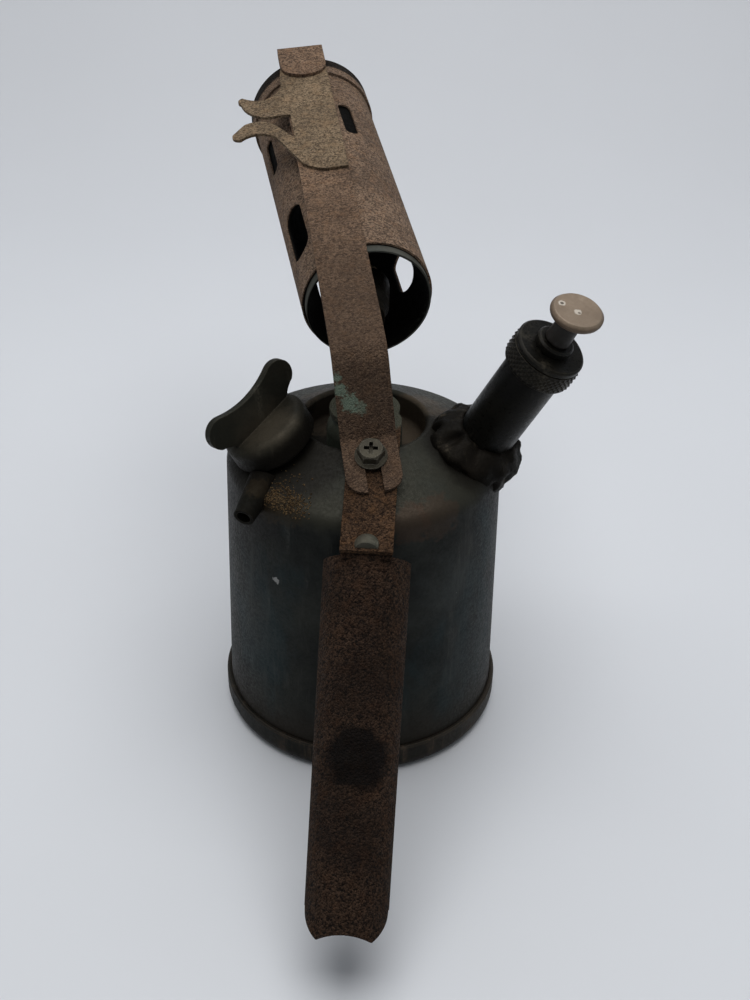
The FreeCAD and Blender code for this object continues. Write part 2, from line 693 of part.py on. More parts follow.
def corner_edges(shape, thickness, test):
    # Straight edges as long as the sheet is thick whose middle passes the test.
    found = []
    for edge in shape.Edges:
        middle = edge.CenterOfMass
        if isinstance(edge.Curve, Part.Line) and abs(edge.Length - thickness) < 0.01 and test(middle):
            found.append(edge)
    return found


handle_x = of("handle_x").value
strap_width = of("strap_width").value
ring_level = boss_top.value
bend_y = -of("rim_radius").value + (ring_level - of("rim_height").value - bracket_lift) / slope_rise
bracket_end = -of("bracket_end").value
bracket_form = bent_sheet(
    [(bracket_end, under_bracket(bracket_end)), (bend_y, ring_level), (0.0, ring_level)],
    [of("bracket_bend").value], strip, of("bracket_width").value, handle_x)
ring_corners = corner_edges(bracket_form, strip, lambda point: point.y > -strip)
bracket_form = bracket_form.makeFillet(of("ring_corner").value, ring_corners)
ring = Part.makeCylinder(of("ring_radius").value, strip, Vector(0, 0, ring_level))
bracket_form = bracket_form.fuse(ring).removeSplitter()
bracket_form = bracket_form.cut(Part.makeCylinder(feed_hole.value, strip, Vector(0, 0, ring_level)))

screw_x = of("screw_x").value
screw_y = of("screw_y").value
across_dome = Vector(0, -math.sin(math.radians(slope)), math.cos(math.radians(slope)))
screw_foot = Vector(screw_x, screw_y, under_bracket(screw_y))
screw_hole = of("screw_radius").value + of("screw_fit").value
bracket_form = bracket_form.cut(
    Part.makeCylinder(screw_hole, 2 * strip, screw_foot - across_dome * strip / 2, across_dome))
rivet_y = bracket_end + of("rivet_inset").value
rivet_foot = Vector(handle_x, rivet_y, under_bracket(rivet_y))
rivet_hole = of("rivet_radius").value + of("rivet_fit").value
bracket_form = bracket_form.cut(
    Part.makeCylinder(rivet_hole, 2 * strip, rivet_foot - across_dome * strip / 2, across_dome))
bracket = doc.addObject("Part::Feature", "bracket_bent")
bracket.Shape = bracket_form
node(bracket, "handle_bracket")

# Strap: forked under the clamp screw, rising to a knee and lying on the hood up to its mouth,
# where it folds back over the iron rest. It is drawn straight ahead and swung about the screw.
swing = Placement(Vector(0, 0, 0), Rotation(across_dome, of("hood_swing").value), screw_foot)
strap_sheet = of("strap_sheet").value
rise = math.radians(of("hood_rise").value)
hood_up = Vector(0, -math.sin(rise), math.cos(rise))
hood_ahead = Vector(0, math.cos(rise), math.sin(rise))
hood_rear_z = of("rim_height") + of("hood_rear_rise")
hood_rear = Vector(screw_x, of("hood_rear_y").value, hood_rear_z.value)
lap_gap = of("lap_gap").value
hood_radius = of("hood_radius").value
mouth_radius = hood_radius + lap_gap + of("mouth_sheet").value
ring_start = of("hood_length").value - of("mouth_overlap").value
hood_full = ring_start + of("mouth_length").value
saddle_tilt = math.atan((mouth_radius - hood_radius) / ring_start)
strap_up = Vector(0, -math.sin(rise + saddle_tilt), math.cos(rise + saddle_tilt))
strap_ahead = Vector(0, math.cos(rise + saddle_tilt), math.sin(rise + saddle_tilt))
saddle = hood_rear + hood_up * (hood_radius + of("saddle_gap").value) + strap_up * strap_sheet
strap_end = saddle + strap_ahead * (hood_full + of("strap_overhang").value)


def over_bracket(y):
    return under_bracket(y) + (strip + of("fold_gap").value) / math.cos(math.radians(slope))


fork_top = strap_sheet / math.cos(math.radians(slope))
fork_level = strip + of("fold_gap").value + strap_sheet
screw_crown = screw_foot + across_dome * fork_level
tip_y = screw_crown.y - of("fork_reach").value * math.cos(math.radians(slope))
heel_reach = of("flange_radius").value + of("heel_room").value
heel_y = screw_crown.y + heel_reach * math.cos(math.radians(slope))
heel_z = over_bracket(heel_y) + fork_top
knee_z = of("rim_height").value + of("knee_lift").value
knee_y = heel_y + (knee_z - heel_z) / math.tan(math.radians(of("strap_lean").value))
knee_rise = math.tan(math.radians(of("strap_slope").value))
saddle_rise = math.tan(rise + saddle_tilt)
saddle_y = (saddle.z - saddle_rise * saddle.y - knee_z + knee_rise * knee_y) / (knee_rise - saddle_rise)
saddle_z = knee_z + knee_rise * (saddle_y - knee_y)
strap_joint = saddle + strap_ahead * of("strap_joint").value
strap_form = bent_sheet(
    [(tip_y, over_bracket(tip_y) + fork_top), (heel_y, heel_z), (knee_y, knee_z),
     (saddle_y, saddle_z), (strap_joint.y, strap_joint.z)],
    [of("heel_bend").value, of("knee_bend").value, of("saddle_bend").value],
    -strap_sheet, strap_width, screw_x)
fold_room = of("rest_sheet").value + 2 * of("fold_gap").value
fold_crown = strap_end + strap_up * (fold_room / 2) + strap_ahead * (fold_room / 2)
tab_start = strap_end + strap_up * fold_room
tab_end = tab_start - strap_ahead * of("tab_length").value
tab_form = thicken(
    [Part.LineSegment(strap_joint, strap_end).toShape(),
     Part.Arc(strap_end, fold_crown, tab_start).toShape(),
     Part.LineSegment(tab_start, tab_end).toShape()], -strap_sheet, strap_width, 0.0)
tab_corners = corner_edges(tab_form, strap_sheet, lambda point: (point - tab_end).Length < strap_width
                           and point.y < tab_end.y + strap_sheet)
tab_form = tab_form.makeFillet(strap_width * 0.46, tab_corners)
fork_slot = of("fork_slot").value
slot_length = of("fork_reach").value
slot_box = Part.makeBox(fork_slot, 2 * slot_length, 4 * strap_sheet,
                        Vector(-fork_slot / 2, -2 * slot_length, -strap_sheet))
slot_end = Part.makeCylinder(fork_slot / 2, 4 * strap_sheet, Vector(0, 0, -strap_sheet))
slot_tool = slot_box.fuse(slot_end)
slot_tool.Placement = Placement(screw_foot, Rotation(Vector(1, 0, 0), slope))
strap_form = strap_form.cut(slot_tool)
tip_corners = corner_edges(strap_form, strap_sheet, lambda point: point.y < tip_y + strap_sheet
                           and abs(point.x - screw_x) > strap_width * 0.45)
strap_form = strap_form.makeFillet(of("fork_corner").value, tip_corners)
strap_over_mouth = Vector(screw_x, strap_end.y, strap_end.z)
upper_turn = Placement(Vector(of("strap_shift").value, 0, 0), Rotation()).multiply(
    Placement(Vector(0, 0, 0), Rotation(strap_up, of("strap_crook").value), strap_over_mouth))
tab_form.Placement = upper_turn
knuckle = Part.makeCylinder(
    strap_width / 2, strap_sheet, Vector(screw_x, strap_joint.y, strap_joint.z), -strap_up)
knuckle.Placement = upper_turn.multiply(knuckle.Placement)
strap_form.Placement = Placement(
    Vector(0, 0, 0), Rotation(across_dome, of("strap_turn").value), screw_foot)
strap_form = strap_form.fuse([tab_form, knuckle]).removeSplitter()
strap = doc.addObject("Part::Feature", "strap_bent")
strap.Shape = strap_form
strap.Placement = swing
node(strap, "hood_strap")

# Iron rest: a plate between strap and tab with two horns and a notch that a soldering iron lies in.
rest = doc.addObject("PartDesign::Body", "rest_cut")
rest_corners = []
for number, (across, distance, radius, side) in enumerate(REST_OUTLINE, start=1):
    corner = (of("rest_across_%d" % number), of("rest_along_%d" % number))
    rest_corners.append(corner + ((of("rest_round_%d" % number), side) if radius else ()))
rest_outline = draw_chain(new_sketch(rest, "XY_Plane", "rest_outline"), rest_corners)
padded(rest, rest_outline, of("rest_sheet"), "rest_plate", symmetric=False)
doc.recompute()
rest_foot = saddle + strap_up * of("fold_gap").value
rest.Placement = swing.multiply(upper_turn).multiply(
    Placement(rest_foot, Rotation(Vector(1, 0, 0), math.degrees(rise + saddle_tilt))))
node(rest, "iron_rest")

# Hood: tube with air slots, inner liner and mouth ring, set a little crooked under the strap.
hood_foot = hood_rear + Vector(of("hood_shift").value, 0, 0)
hood_mouth = hood_foot + hood_ahead * hood_full
crook = Placement(Vector(0, 0, 0), Rotation(hood_up, of("hood_crook").value), hood_mouth)
upright = Rotation(Vector(1, 0, 0), of("hood_rise").value - 90)
hood_place = swing.multiply(crook.multiply(Placement(hood_foot, upright)))
hood = tube("hood_turned", of("hood_radius"), of("hood_radius") - of("hood_sheet"),
            zero, of("hood_length"))
hood_reach = of("hood_radius") * 1.3


def cut_air_slots(tube_body, name):
    for slot in ("air_left", "air_low", "air_right"):
        low = of(slot + "_start")
        outline = slot_corners(of("air_width") / 2, low, low + of(slot + "_length"), of("air_corner"))
        cut_slot(tube_body, "%s_%s" % (name, slot), of(slot + "_angle"), outline, hood_reach)


vent_top = of("vent_start") + of("vent_length")
vent_slot = slot_corners(of("vent_width") / 2, of("vent_start"), vent_top, of("vent_corner"))
cut_air_slots(hood, "hood")
vent = cut_slot(hood, "vent_slot", of("vent_angle"), vent_slot, hood_reach)
doc.recompute()
vent_ring = hood.newObject("PartDesign::PolarPattern", "vent_slots")
vent_ring.Originals = [vent]
vent_ring.Axis = (new_sketch(hood, "XY_Plane", "vent_axis"), ["N_Axis"])
bind(vent_ring, Angle=of("vent_spread"), Occurrences=of("vent_count"))
hood.Tip = vent_ring
hood.Placement = hood_place
node(hood, "hood")

liner_radius = of("hood_radius") - of("hood_sheet") - of("lap_gap")
liner = tube("liner_turned", liner_radius, liner_radius - of("liner_sheet"),
             -of("liner_proud"), of("liner_length") - of("liner_proud"))
cut_air_slots(liner, "liner")
liner.Placement = hood_place
node(liner, "hood_liner")

ring_inside = of("hood_radius") + of("lap_gap")
ring_outside = ring_inside + of("mouth_sheet")
ring_low = of("hood_length") - of("mouth_overlap")
ring_high = ring_low + of("mouth_length")
mouth_ring = turned("mouth_turned", [
    (ring_inside, ring_low),
    (ring_outside, ring_low),
    (ring_outside, ring_high),
    (ring_inside - of("mouth_lip"), ring_high),
    (ring_inside - of("mouth_lip"), ring_high - of("mouth_sheet")),
    (ring_inside, ring_high - of("mouth_sheet")),
])
mouth_ring.Placement = hood_place
node(mouth_ring, "mouth_ring")

# Burner feed: the riser bends over and aims at the middle of the hood's rear opening.
feed_foot = dish_floor - of("spigot_drop")
feed_elbow = bracket_ring_top + of("gland_height") + of("feed_lift") + of("feed_bend")
aim = hood_place.Base
feed_rise = arctangent((as_size(aim.z) - feed_elbow) / math.hypot(aim.x, aim.y))
feed_turn = arctangent(as_size(-aim.x) / aim.y)
bend_half = (as_size(90) - feed_rise) / 2
bend_cut = of("feed_bend") * tangent(bend_half)
riser = doc.addObject("PartDesign::Body", "riser_bent")
riser_way = draw_chain(new_sketch(riser, "YZ_Plane", "riser_way"), [
    (zero, feed_foot),
    (zero, feed_elbow - bend_cut, of("feed_bend"), -1),
    (bend_cut * cosine(feed_rise), feed_elbow + bend_cut * sine(feed_rise)),
    (of("feed_reach") * cosine(feed_rise),
     feed_elbow + of("feed_reach") * sine(feed_rise)),
], closed=False)
riser_ring = new_sketch(riser, "XY_Plane", "riser_ring")
riser_ring.setExpression("AttachmentOffset.Base.z", feed_foot.text)
draw_circle(riser_ring, of("feed_radius"))
draw_circle(riser_ring, of("feed_bore"))
doc.recompute()
riser_pipe = riser.newObject("PartDesign::AdditivePipe", "riser_pipe")
riser_pipe.Profile = riser_ring
riser_pipe.Spine = riser_way
node(seat(riser, {"Rotation.Yaw": feed_turn}), "riser")

pickup_top = feed_foot
node(tube("pickup_turned", of("pickup_radius"), of("pickup_bore"), of("pickup_foot"), pickup_top),
     "fuel_tube")
node(turned("wick_turned", [
    (zero, of("pickup_foot")),
    (of("pickup_bore") - wall_slack, of("pickup_foot")),
    (of("pickup_bore") - wall_slack, of("pickup_foot") + of("wick_length")),
    (zero, of("pickup_foot") + of("wick_length")),
]), "fuel_wick")

burner_place = {
    "Base.x": -sine(feed_turn) * cosine(feed_rise) * of("feed_reach"),
    "Base.y": cosine(feed_turn) * cosine(feed_rise) * of("feed_reach"),
    "Base.z": feed_elbow + of("feed_reach") * sine(feed_rise),
    "Rotation.Yaw": feed_turn + 90,
    "Rotation.Pitch": as_size(90) - feed_rise,
}
burner_hub_length = of("feed_socket")
burner_front = of("burner_length") - of("feed_socket")
node(seat(turned("burner_turned", [
    (feed_hole, -burner_hub_length),
    (of("burner_hub"), -burner_hub_length),
    (of("burner_hub"), -burner_hub_length * 0.3),
    (of("burner_radius"), burner_hub_length * 0.1),
    (of("burner_radius"), burner_front - of("burner_nose")),
    (of("burner_nose"), burner_front),
    (of("jet_radius") + wall_slack, burner_front),
    (of("jet_radius") + wall_slack, burner_front - of("jet_seat")),
    (of("feed_bore"), burner_front - of("jet_seat")),
    (of("feed_bore"), zero),
    (feed_hole, zero),
]), burner_place), "burner")
jet_base = burner_front - of("jet_seat")
node(seat(turned("jet_turned", [
    (of("jet_hole"), jet_base),
    (of("jet_radius"), jet_base),
    (of("jet_radius"), burner_front),
    (of("jet_radius") * 1.5, burner_front),
    (of("jet_radius") * 1.5, burner_front + of("jet_length") * 0.5),
    (of("jet_radius") * 0.6, burner_front + of("jet_length")),
    (of("jet_hole"), burner_front + of("jet_length")),
]), burner_place), "jet_nipple")

# Clamp screw: flanged hexagon with a cross recess.
screw_place = {
    "Base.x": of("screw_x"), "Base.y": of("screw_y"),
    "Base.z": of("rim_height") + of("bracket_lift")
    - (-of("screw_y") - of("rim_radius")) * tangent(of("dome_slope")),
    "Rotation.Roll": of("dome_slope"),
}
screw_stack = of("bracket_sheet") + of("fold_gap") * 2 + of("strap_sheet")
screw_turned = seat(turned("screw_turned", [
    (zero, zero),
    (of("screw_radius"), zero),
    (of("screw_radius"), screw_stack),
    (of("flange_radius"), screw_stack),
    (of("flange_radius"), screw_stack + of("flange_height") * 0.5),
    (of("hex_across") / 2, screw_stack + of("flange_height")),
    (zero, screw_stack + of("flange_height")),
]), screw_place)


def up_screw(height):
    moved = dict(screw_place)
    moved["Base.y"] = screw_place["Base.y"] - height * sine(of("dome_slope"))
    moved["Base.z"] = screw_place["Base.z"] + height * cosine(of("dome_slope"))
    return moved


screw_hex = hexagon("screw_hex", of("hex_across"), of("hex_height"),
                    up_screw(screw_stack + of("flange_height") * 0.5))
screw_top = screw_stack + of("flange_height") * 0.5 + of("hex_height")
recess = doc.addObject("PartDesign::Body", "cross_recess")
cross_half = of("cross_width") / 2
cross_arm = of("cross_span") / 2
cross_sketch = draw_chain(new_sketch(recess, "XY_Plane", "cross_outline"), [
    (-cross_half, -cross_arm), (cross_half, -cross_arm), (cross_half, -cross_half),
    (cross_arm, -cross_half), (cross_arm, cross_half), (cross_half, cross_half),
    (cross_half, cross_arm), (-cross_half, cross_arm), (-cross_half, cross_half),
    (-cross_arm, cross_half), (-cross_arm, -cross_half), (-cross_half, -cross_half),
])
padded(recess, cross_sketch, of("cross_depth") * 2, "cross_cut", symmetric=False)
seat(recess, up_screw(screw_top - of("cross_depth")))
crown_in = of("hex_across") * of("crown_share")
crown_out = of("hex_across") * 0.62
screw_crown_cut = seat(turned("screw_crown", [
    (crown_in, of("hex_height")),
    (crown_out, of("hex_height") - of("crown_drop")),
    (crown_out, of("hex_height") + of("crown_drop")),
    (crown_in, of("hex_height") + of("crown_drop")),
]), up_screw(screw_stack + of("flange_height") * 0.5))
screw_whole = fused("screw", [screw_turned, screw_hex])
node(cut_from("screw", screw_whole, [recess, screw_crown_cut]), "clamp_screw")

# Grip: a tapering channel, open below, with a tang riveted under the bracket.
grip_start = Vector(handle_x, bracket_end, under_bracket(bracket_end))
grip = doc.addObject("PartDesign::Body", "grip_formed")


def channel(name, radius, distance):
    inner = radius - of("grip_sheet")
    centre_drop = radius - of("grip_depth")
    half_out = root(radius * radius - centre_drop * centre_drop)
    half_in = root(inner * inner - centre_drop * centre_drop)
    sketch = new_sketch(grip, "XY_Plane", name)
    sketch.setExpression("AttachmentOffset.Base.z", distance.text)
    return draw_chain(sketch, [
        (half_out, -of("grip_depth"), radius, 1),
        (-half_out, -of("grip_depth")),
        (-half_in, -of("grip_depth"), inner, -1),
        (half_in, -of("grip_depth")),
    ])


grip_top = channel("grip_top", of("grip_top_radius"), zero + 0.0)
grip_end = channel("grip_end", of("grip_end_radius"), of("grip_length"))
grip_loft = grip.newObject("PartDesign::AdditiveLoft", "grip_channel")
grip_loft.Profile = grip_top
grip_loft.Sections = [grip_end]
grip_loft.Ruled = True
doc.recompute()
corner_sketch = new_sketch(grip, "XZ_Plane", "grip_corners")
corner_out = of("grip_top_radius") * 2
corner_side = of("grip_end_radius") * 0.98
for side in (1, -1):
    draw_chain(corner_sketch, [
        (corner_side * side, of("grip_length") - of("grip_corner"), of("grip_corner_radius"), side),
        ((corner_side - of("grip_corner_across")) * side, of("grip_length")),
        ((corner_side - of("grip_corner_across")) * side, of("grip_length") * 1.2),
        (corner_out * side, of("grip_length") * 1.2),
        (corner_out * side, of("grip_length") - of("grip_corner")),
    ])
draw_chain(corner_sketch, [
    (-of("grip_notch_half"), of("grip_length"), of("grip_notch_radius"), 1),
    (of("grip_notch_half"), of("grip_length")),
    (of("grip_notch_half"), of("grip_length") * 1.2),
    (-of("grip_notch_half"), of("grip_length") * 1.2),
])
corner_cut = grip.newObject("PartDesign::Pocket", "grip_rounding")
corner_cut.Profile = corner_sketch
corner_cut.SideType = "Symmetric"
bind(corner_cut, Length=of("grip_top_radius") * 4)
tang_turn = of("grip_slope") - of("dome_slope")
tang_sketch = draw_chain(new_sketch(grip, "YZ_Plane", "tang_outline"), [
    (zero, zero),
    (-of("tang_length") * sine(tang_turn), -of("tang_length") * cosine(tang_turn)),
    (-of("tang_length") * sine(tang_turn) - of("grip_sheet") * cosine(tang_turn),
     of("grip_sheet") * sine(tang_turn) - of("tang_length") * cosine(tang_turn)),
    (-of("grip_sheet"), of("grip_sheet")),
    (-of("grip_sheet") * 0.3, of("grip_sheet")),
])
tang_pad = padded(grip, tang_sketch, of("tang_width"), "grip_tang")
grip.Placement = Placement(grip_start, Rotation(Vector(1, 0, 0), 90 + of("grip_slope").value))
grip_hole = doc.addObject("Part::Cylinder", "grip_hole")
bind(grip_hole, Radius=of("rivet_radius") + of("rivet_fit"), Height=of("grip_sheet") * 6)
grip_hole.Placement = Placement(
    rivet_foot - across_dome * of("grip_sheet").value * 3, Rotation(Vector(1, 0, 0), slope))
node(cut_from("grip", grip, [grip_hole]), "handle_grip")

# Handle rivet: its round head is filed flush with the bracket's end.
rivet = turned("rivet_turned", [
    (zero, -of("grip_sheet")),
    (of("rivet_radius"), -of("grip_sheet")),
    (of("rivet_radius"), of("bracket_sheet")),
    (of("rivet_head"), of("bracket_sheet"), of("rivet_head") * 1.12, 1),
    (zero, of("bracket_sheet") + of("rivet_rise")),
])
rivet.Placement = Placement(rivet_foot, Rotation(Vector(1, 0, 0), slope))
flush = doc.addObject("Part::Box", "rivet_flush")
bind(flush, Length=of("strap_width"), Width=of("strap_width"), Height=of("strap_width"))
flush.Placement = Placement(
    Vector(handle_x - strap_width / 2, bracket_end - strap_width, rivet_foot.z - strap_width / 2),
    Rotation())
node(cut_from("rivet", rivet, [flush]), "handle_rivet")

# Filler: neck soldered to the dome, washer, and a cap with a thumb wing.
neck_turned = seat(turned("neck_turned", [
    (of("neck_bore"), -of("spigot_depth")),
    (of("neck_spigot"), -of("spigot_depth")),
    (of("neck_spigot"), of("neck_top") * 0.5),
    (of("neck_bore"), of("neck_top") * 0.5),
]), filler_place)
neck_head = seat(turned("neck_head", [
    (of("neck_bore"), -of("neck_depth")),
    (of("neck_radius"), -of("neck_depth")),
    (of("neck_radius"), of("neck_top")),
    (of("neck_bore"), of("neck_top")),
]), filler_place)
neck_seated = cut_from("neck_head", neck_head, [tank_form])
node(fused("neck", [neck_turned, neck_seated]), "filler_neck")

washer_low = of("neck_top") + of("cap_clearance")
washer_high = washer_low + of("washer_sheet")
cap_bore = of("neck_radius") + of("cap_clearance")
cap_top = of("cap_foot") + of("cap_height")
cap = turned("cap_turned", [
    (cap_bore, of("cap_foot")),
    (of("cap_radius") - 0.8, of("cap_foot")),
    (of("cap_radius"), of("cap_foot") + 0.8),
    (of("cap_radius"), cap_top - of("cap_round"), of("cap_round"), 1),
    (of("cap_radius") - of("cap_round"), cap_top),
    (zero, cap_top),
    (zero, washer_high),
    (cap_bore, washer_high),
])
wing_base = cap_top - of("cap_round") * 0.4
lobe_low_x = of("wing_lobe_reach") + of("wing_lobe_radius") * cosine(of("wing_lobe_start"))
lobe_low_z = of("wing_lobe_height") + of("wing_lobe_radius") * sine(of("wing_lobe_start")) + cap_top
lobe_high_x = of("wing_lobe_reach") + of("wing_lobe_radius") * cosine(of("wing_lobe_end"))
lobe_high_z = of("wing_lobe_height") + of("wing_lobe_radius") * sine(of("wing_lobe_end")) + cap_top
wing_sketch = draw_chain(new_sketch(cap, "XZ_Plane", "wing_outline"), [
    (-of("wing_root"), wing_base),
    (of("wing_root"), wing_base, of("wing_flare_radius"), -1),
    (lobe_low_x, lobe_low_z, of("wing_lobe_radius"), 1),
    (lobe_high_x, lobe_high_z, of("wing_dip_radius"), -1),
    (-lobe_high_x, lobe_high_z, of("wing_lobe_radius"), 1),
    (-lobe_low_x, lobe_low_z, of("wing_flare_radius"), -1),
])
padded(cap, wing_sketch, of("wing_sheet"), "cap_wing")
doc.recompute()
filler_turn = Placement(
    Vector(0, 0, 0), Rotation(of("filler_azimuth").value, of("filler_lean").value, 0.0))
filler_seat = Vector(of("filler_x").value, of("filler_y").value,
                     dome_height(of("filler_x"), of("filler_y")).value)
cap.Placement = Placement(
    filler_seat, filler_turn.Rotation.multiply(Rotation(Vector(0, 0, 1), of("wing_turn").value)))
node(cap, "filler_cap")
node(seat(turned("washer_turned", [
    (of("neck_bore") * 0.4, washer_low),
    (cap_bore - of("cap_clearance"), washer_low),
    (cap_bore - of("cap_clearance"), washer_high),
    (of("neck_bore") * 0.4, washer_high),
]), filler_place), "filler_washer")

# Vent spout: a short tapering tube on the shoulder below the filler.
spout_turned = seat(turned("spout_turned", [
    (of("spout_bore"), -of("spout_length")),
    (of("spout_radius"), -of("spout_length")),
    (of("spout_root"), of("spout_root")),
    (of("spout_bore"), of("spout_root")),
]), spout_place)
cap_room = cylinder("spout_cap_room", of("cap_radius") + of("spout_room"), of("boss_radius") * 4,
                    along(filler_place, -of("boss_radius") * 2))
node(cut_from("spout", spout_turned, [tank_form, cap_room]), "vent_spout")

# Pump: barrel through the dome, soldered collar, cap, gland, rod, knob and piston.
barrel_bore = of("barrel_radius") - of("barrel_sheet")
node(seat(tube("barrel_turned", of("barrel_radius"), barrel_bore,
               -of("barrel_drop"), of("barrel_top")), pump_place), "pump_barrel")
collar_turned = seat(turned("collar_turned", [
    (of("barrel_radius") + wall_slack, -of("pump_collar_drop")),
    (of("pump_collar"), -of("pump_collar_drop")),
    (of("pump_collar"), of("pump_collar_rise") * 0.35, of("pump_collar_rise"), 1),
    (of("pump_collar_top"), of("pump_collar_rise")),
    (of("barrel_radius") + wall_slack, of("pump_collar_rise")),
]), pump_place)
node(cut_from("collar", collar_turned, [tank_form]), "pump_boss")

pump_cap_top = of("pump_cap_foot") + of("pump_cap_height")
pump_cap_bore = of("barrel_radius") + wall_slack
knurl_top = pump_cap_top - of("pump_cap_lip")
groove = of("pump_cap_groove")
rod_hole = of("rod_radius") + of("rod_fit")
node(seat(turned("pump_cap_turned", [
    (pump_cap_bore, of("pump_cap_foot")),
    (of("pump_cap_radius") - groove, of("pump_cap_foot")),
    (of("pump_cap_radius") - groove, of("pump_cap_foot") + groove),
    (of("pump_cap_radius"), of("pump_cap_foot") + groove),
    (of("pump_cap_radius"), knurl_top - groove),
    (of("pump_cap_radius") - groove, knurl_top - groove),
    (of("pump_cap_radius") - groove, knurl_top),
    (of("pump_cap_radius"), knurl_top),
    (of("pump_cap_radius"), pump_cap_top - groove),
    (of("pump_cap_radius") - groove, pump_cap_top),
    (rod_hole, pump_cap_top),
    (rod_hole, of("barrel_top")),
    (pump_cap_bore, of("barrel_top")),
]), pump_place), "pump_cap")
gland_top = pump_cap_top + of("gland_rise")
node(seat(turned("gland_turned", [
    (rod_hole, pump_cap_top),
    (of("collar_radius"), pump_cap_top),
    (of("collar_radius"), gland_top - groove),
    (of("collar_radius") - groove, gland_top),
    (rod_hole, gland_top),
]), pump_place), "pump_gland")

knob_foot = gland_top + of("knob_gap")
piston_foot = of("barrel_drop") - of("piston_room")
piston_top = of("cup_length") - piston_foot
nut_low = -piston_foot - of("plate_sheet") - of("piston_nut_height")
rod_top = knob_foot + of("knob_rise") * 0.6
rod_slack = of("solder_gap")
node(seat(turned("rod_turned", [
    (zero, nut_low),
    (of("rod_radius"), nut_low),
    (of("rod_radius"), rod_top),
    (zero, rod_top),
]), pump_place), "pump_rod")
knob_bore = of("rod_radius") + rod_slack
knob_stem = seat(turned("knob_stem", [
    (knob_bore, knob_foot),
    (of("knob_neck"), knob_foot),
    (of("knob_waist"), knob_foot + of("knob_rise")),
    (zero, knob_foot + of("knob_rise")),
    (zero, rod_top),
    (knob_bore, rod_top),
]), pump_place)
disc_half = of("knob_sheet") / 2
knob_disc = turned("knob_disc", [
    (zero, -disc_half),
    (of("knob_radius") - disc_half * 0.6, -disc_half, disc_half * 1.25, 1),
    (of("knob_radius"), disc_half * 0.4),
    (of("knob_radius") - disc_half * 0.6, disc_half),
    (zero, disc_half),
])
pump_turn = Rotation(of("pump_azimuth").value, of("pump_lean").value, 0.0)
pump_seat = Vector(of("pump_x").value, of("pump_y").value, pump_level.value)
pump_axis = pump_turn.multVec(Vector(0, 0, 1))
tilt_way = Rotation(Vector(0, 0, 1), of("knob_tilt_turn").value).multVec(Vector(1, 0, 0))
knob_disc.Placement = Placement(
    pump_seat + pump_axis * (knob_foot + of("knob_rise")).value,
    pump_turn.multiply(Rotation(tilt_way, of("knob_tilt").value)))
node(fused("knob", [knob_stem, knob_disc]), "pump_knob")

cup_radius = barrel_bore - of("cup_fit")
node(seat(turned("cup_turned", [
    (knob_bore, -piston_foot),
    (cup_radius - of("cup_sheet") * 0.5, -piston_foot),
    (cup_radius, piston_top),
    (cup_radius - of("cup_sheet") * 0.7, piston_top),
    (cup_radius - of("cup_sheet") * 1.5, of("cup_sheet") - piston_foot),
    (knob_bore, of("cup_sheet") - piston_foot),
]), pump_place), "piston_cup")
node(seat(tube("plate_turned", of("plate_radius"), knob_bore,
               -piston_foot - of("plate_sheet"), -piston_foot), pump_place), "piston_washer")
piston_nut_place = along(pump_place, nut_low)
piston_nut_blank = hexagon("piston_nut_blank", of("piston_nut_across"), of("piston_nut_height"),
                           piston_nut_place)
piston_nut_bore = cylinder("piston_nut_bore", knob_bore, of("piston_nut_height"), piston_nut_place)
node(cut_from("piston_nut", piston_nut_blank, [piston_nut_bore]), "piston_nut")

# Check valve in the barrel's foot: body, disc, spring and screwed plug.
valve_low = -of("barrel_drop")
valve_high = valve_low + of("valve_length")
valve_seat_level = valve_low + of("valve_room_depth")
node(seat(turned("valve_turned", [
    (of("valve_room"), valve_low),
    (barrel_bore - rod_slack, valve_low),
    (barrel_bore - rod_slack, valve_high),
    (of("valve_port"), valve_high),
    (of("valve_port"), valve_seat_level),
    (of("valve_room"), valve_seat_level),
]), pump_place), "valve_body")
disc_top = valve_seat_level - of("valve_gap")
disc_low = disc_top - of("valve_disc_sheet")
node(seat(turned("valve_disc_turned", [
    (zero, disc_low),
    (of("valve_disc_radius"), disc_low),
    (of("valve_disc_radius"), disc_top),
    (zero, disc_top),
]), pump_place), "valve_disc")
plug_top = valve_low + of("plug_length") * 0.4
node(seat(turned("plug_turned", [
    (of("valve_port"), valve_low - of("plug_length") * 0.6),
    (barrel_bore - rod_slack, valve_low - of("plug_length") * 0.6),
    (barrel_bore - rod_slack, valve_low),
    (of("valve_room") - rod_slack, valve_low),
    (of("valve_room") - rod_slack, plug_top),
    (of("valve_port"), plug_top),
]), pump_place), "valve_plug")

doc.recompute()
for obj in doc.Objects:
    if "Invalid" in obj.State or "Error" in obj.State:
        raise RuntimeError("%s did not build: %s" % (obj.Name, obj.State))
for obj in NODES:
    if obj.Shape.isNull() or not obj.Shape.isValid():
        raise RuntimeError("%s has no valid shape" % obj.Label)
    if len(obj.Shape.Solids) != 1:
        raise RuntimeError("%s has %d solids" % (obj.Label, len(obj.Shape.Solids)))

os.makedirs("parts", exist_ok=True)
for obj in NODES:
    obj.Shape.exportStep("parts/%s.step" % obj.Label)
print("%d pieces written" % len(NODES))
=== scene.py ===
import json
import math
import random

import bmesh
import bpy
from mathutils import Matrix, Vector, noise


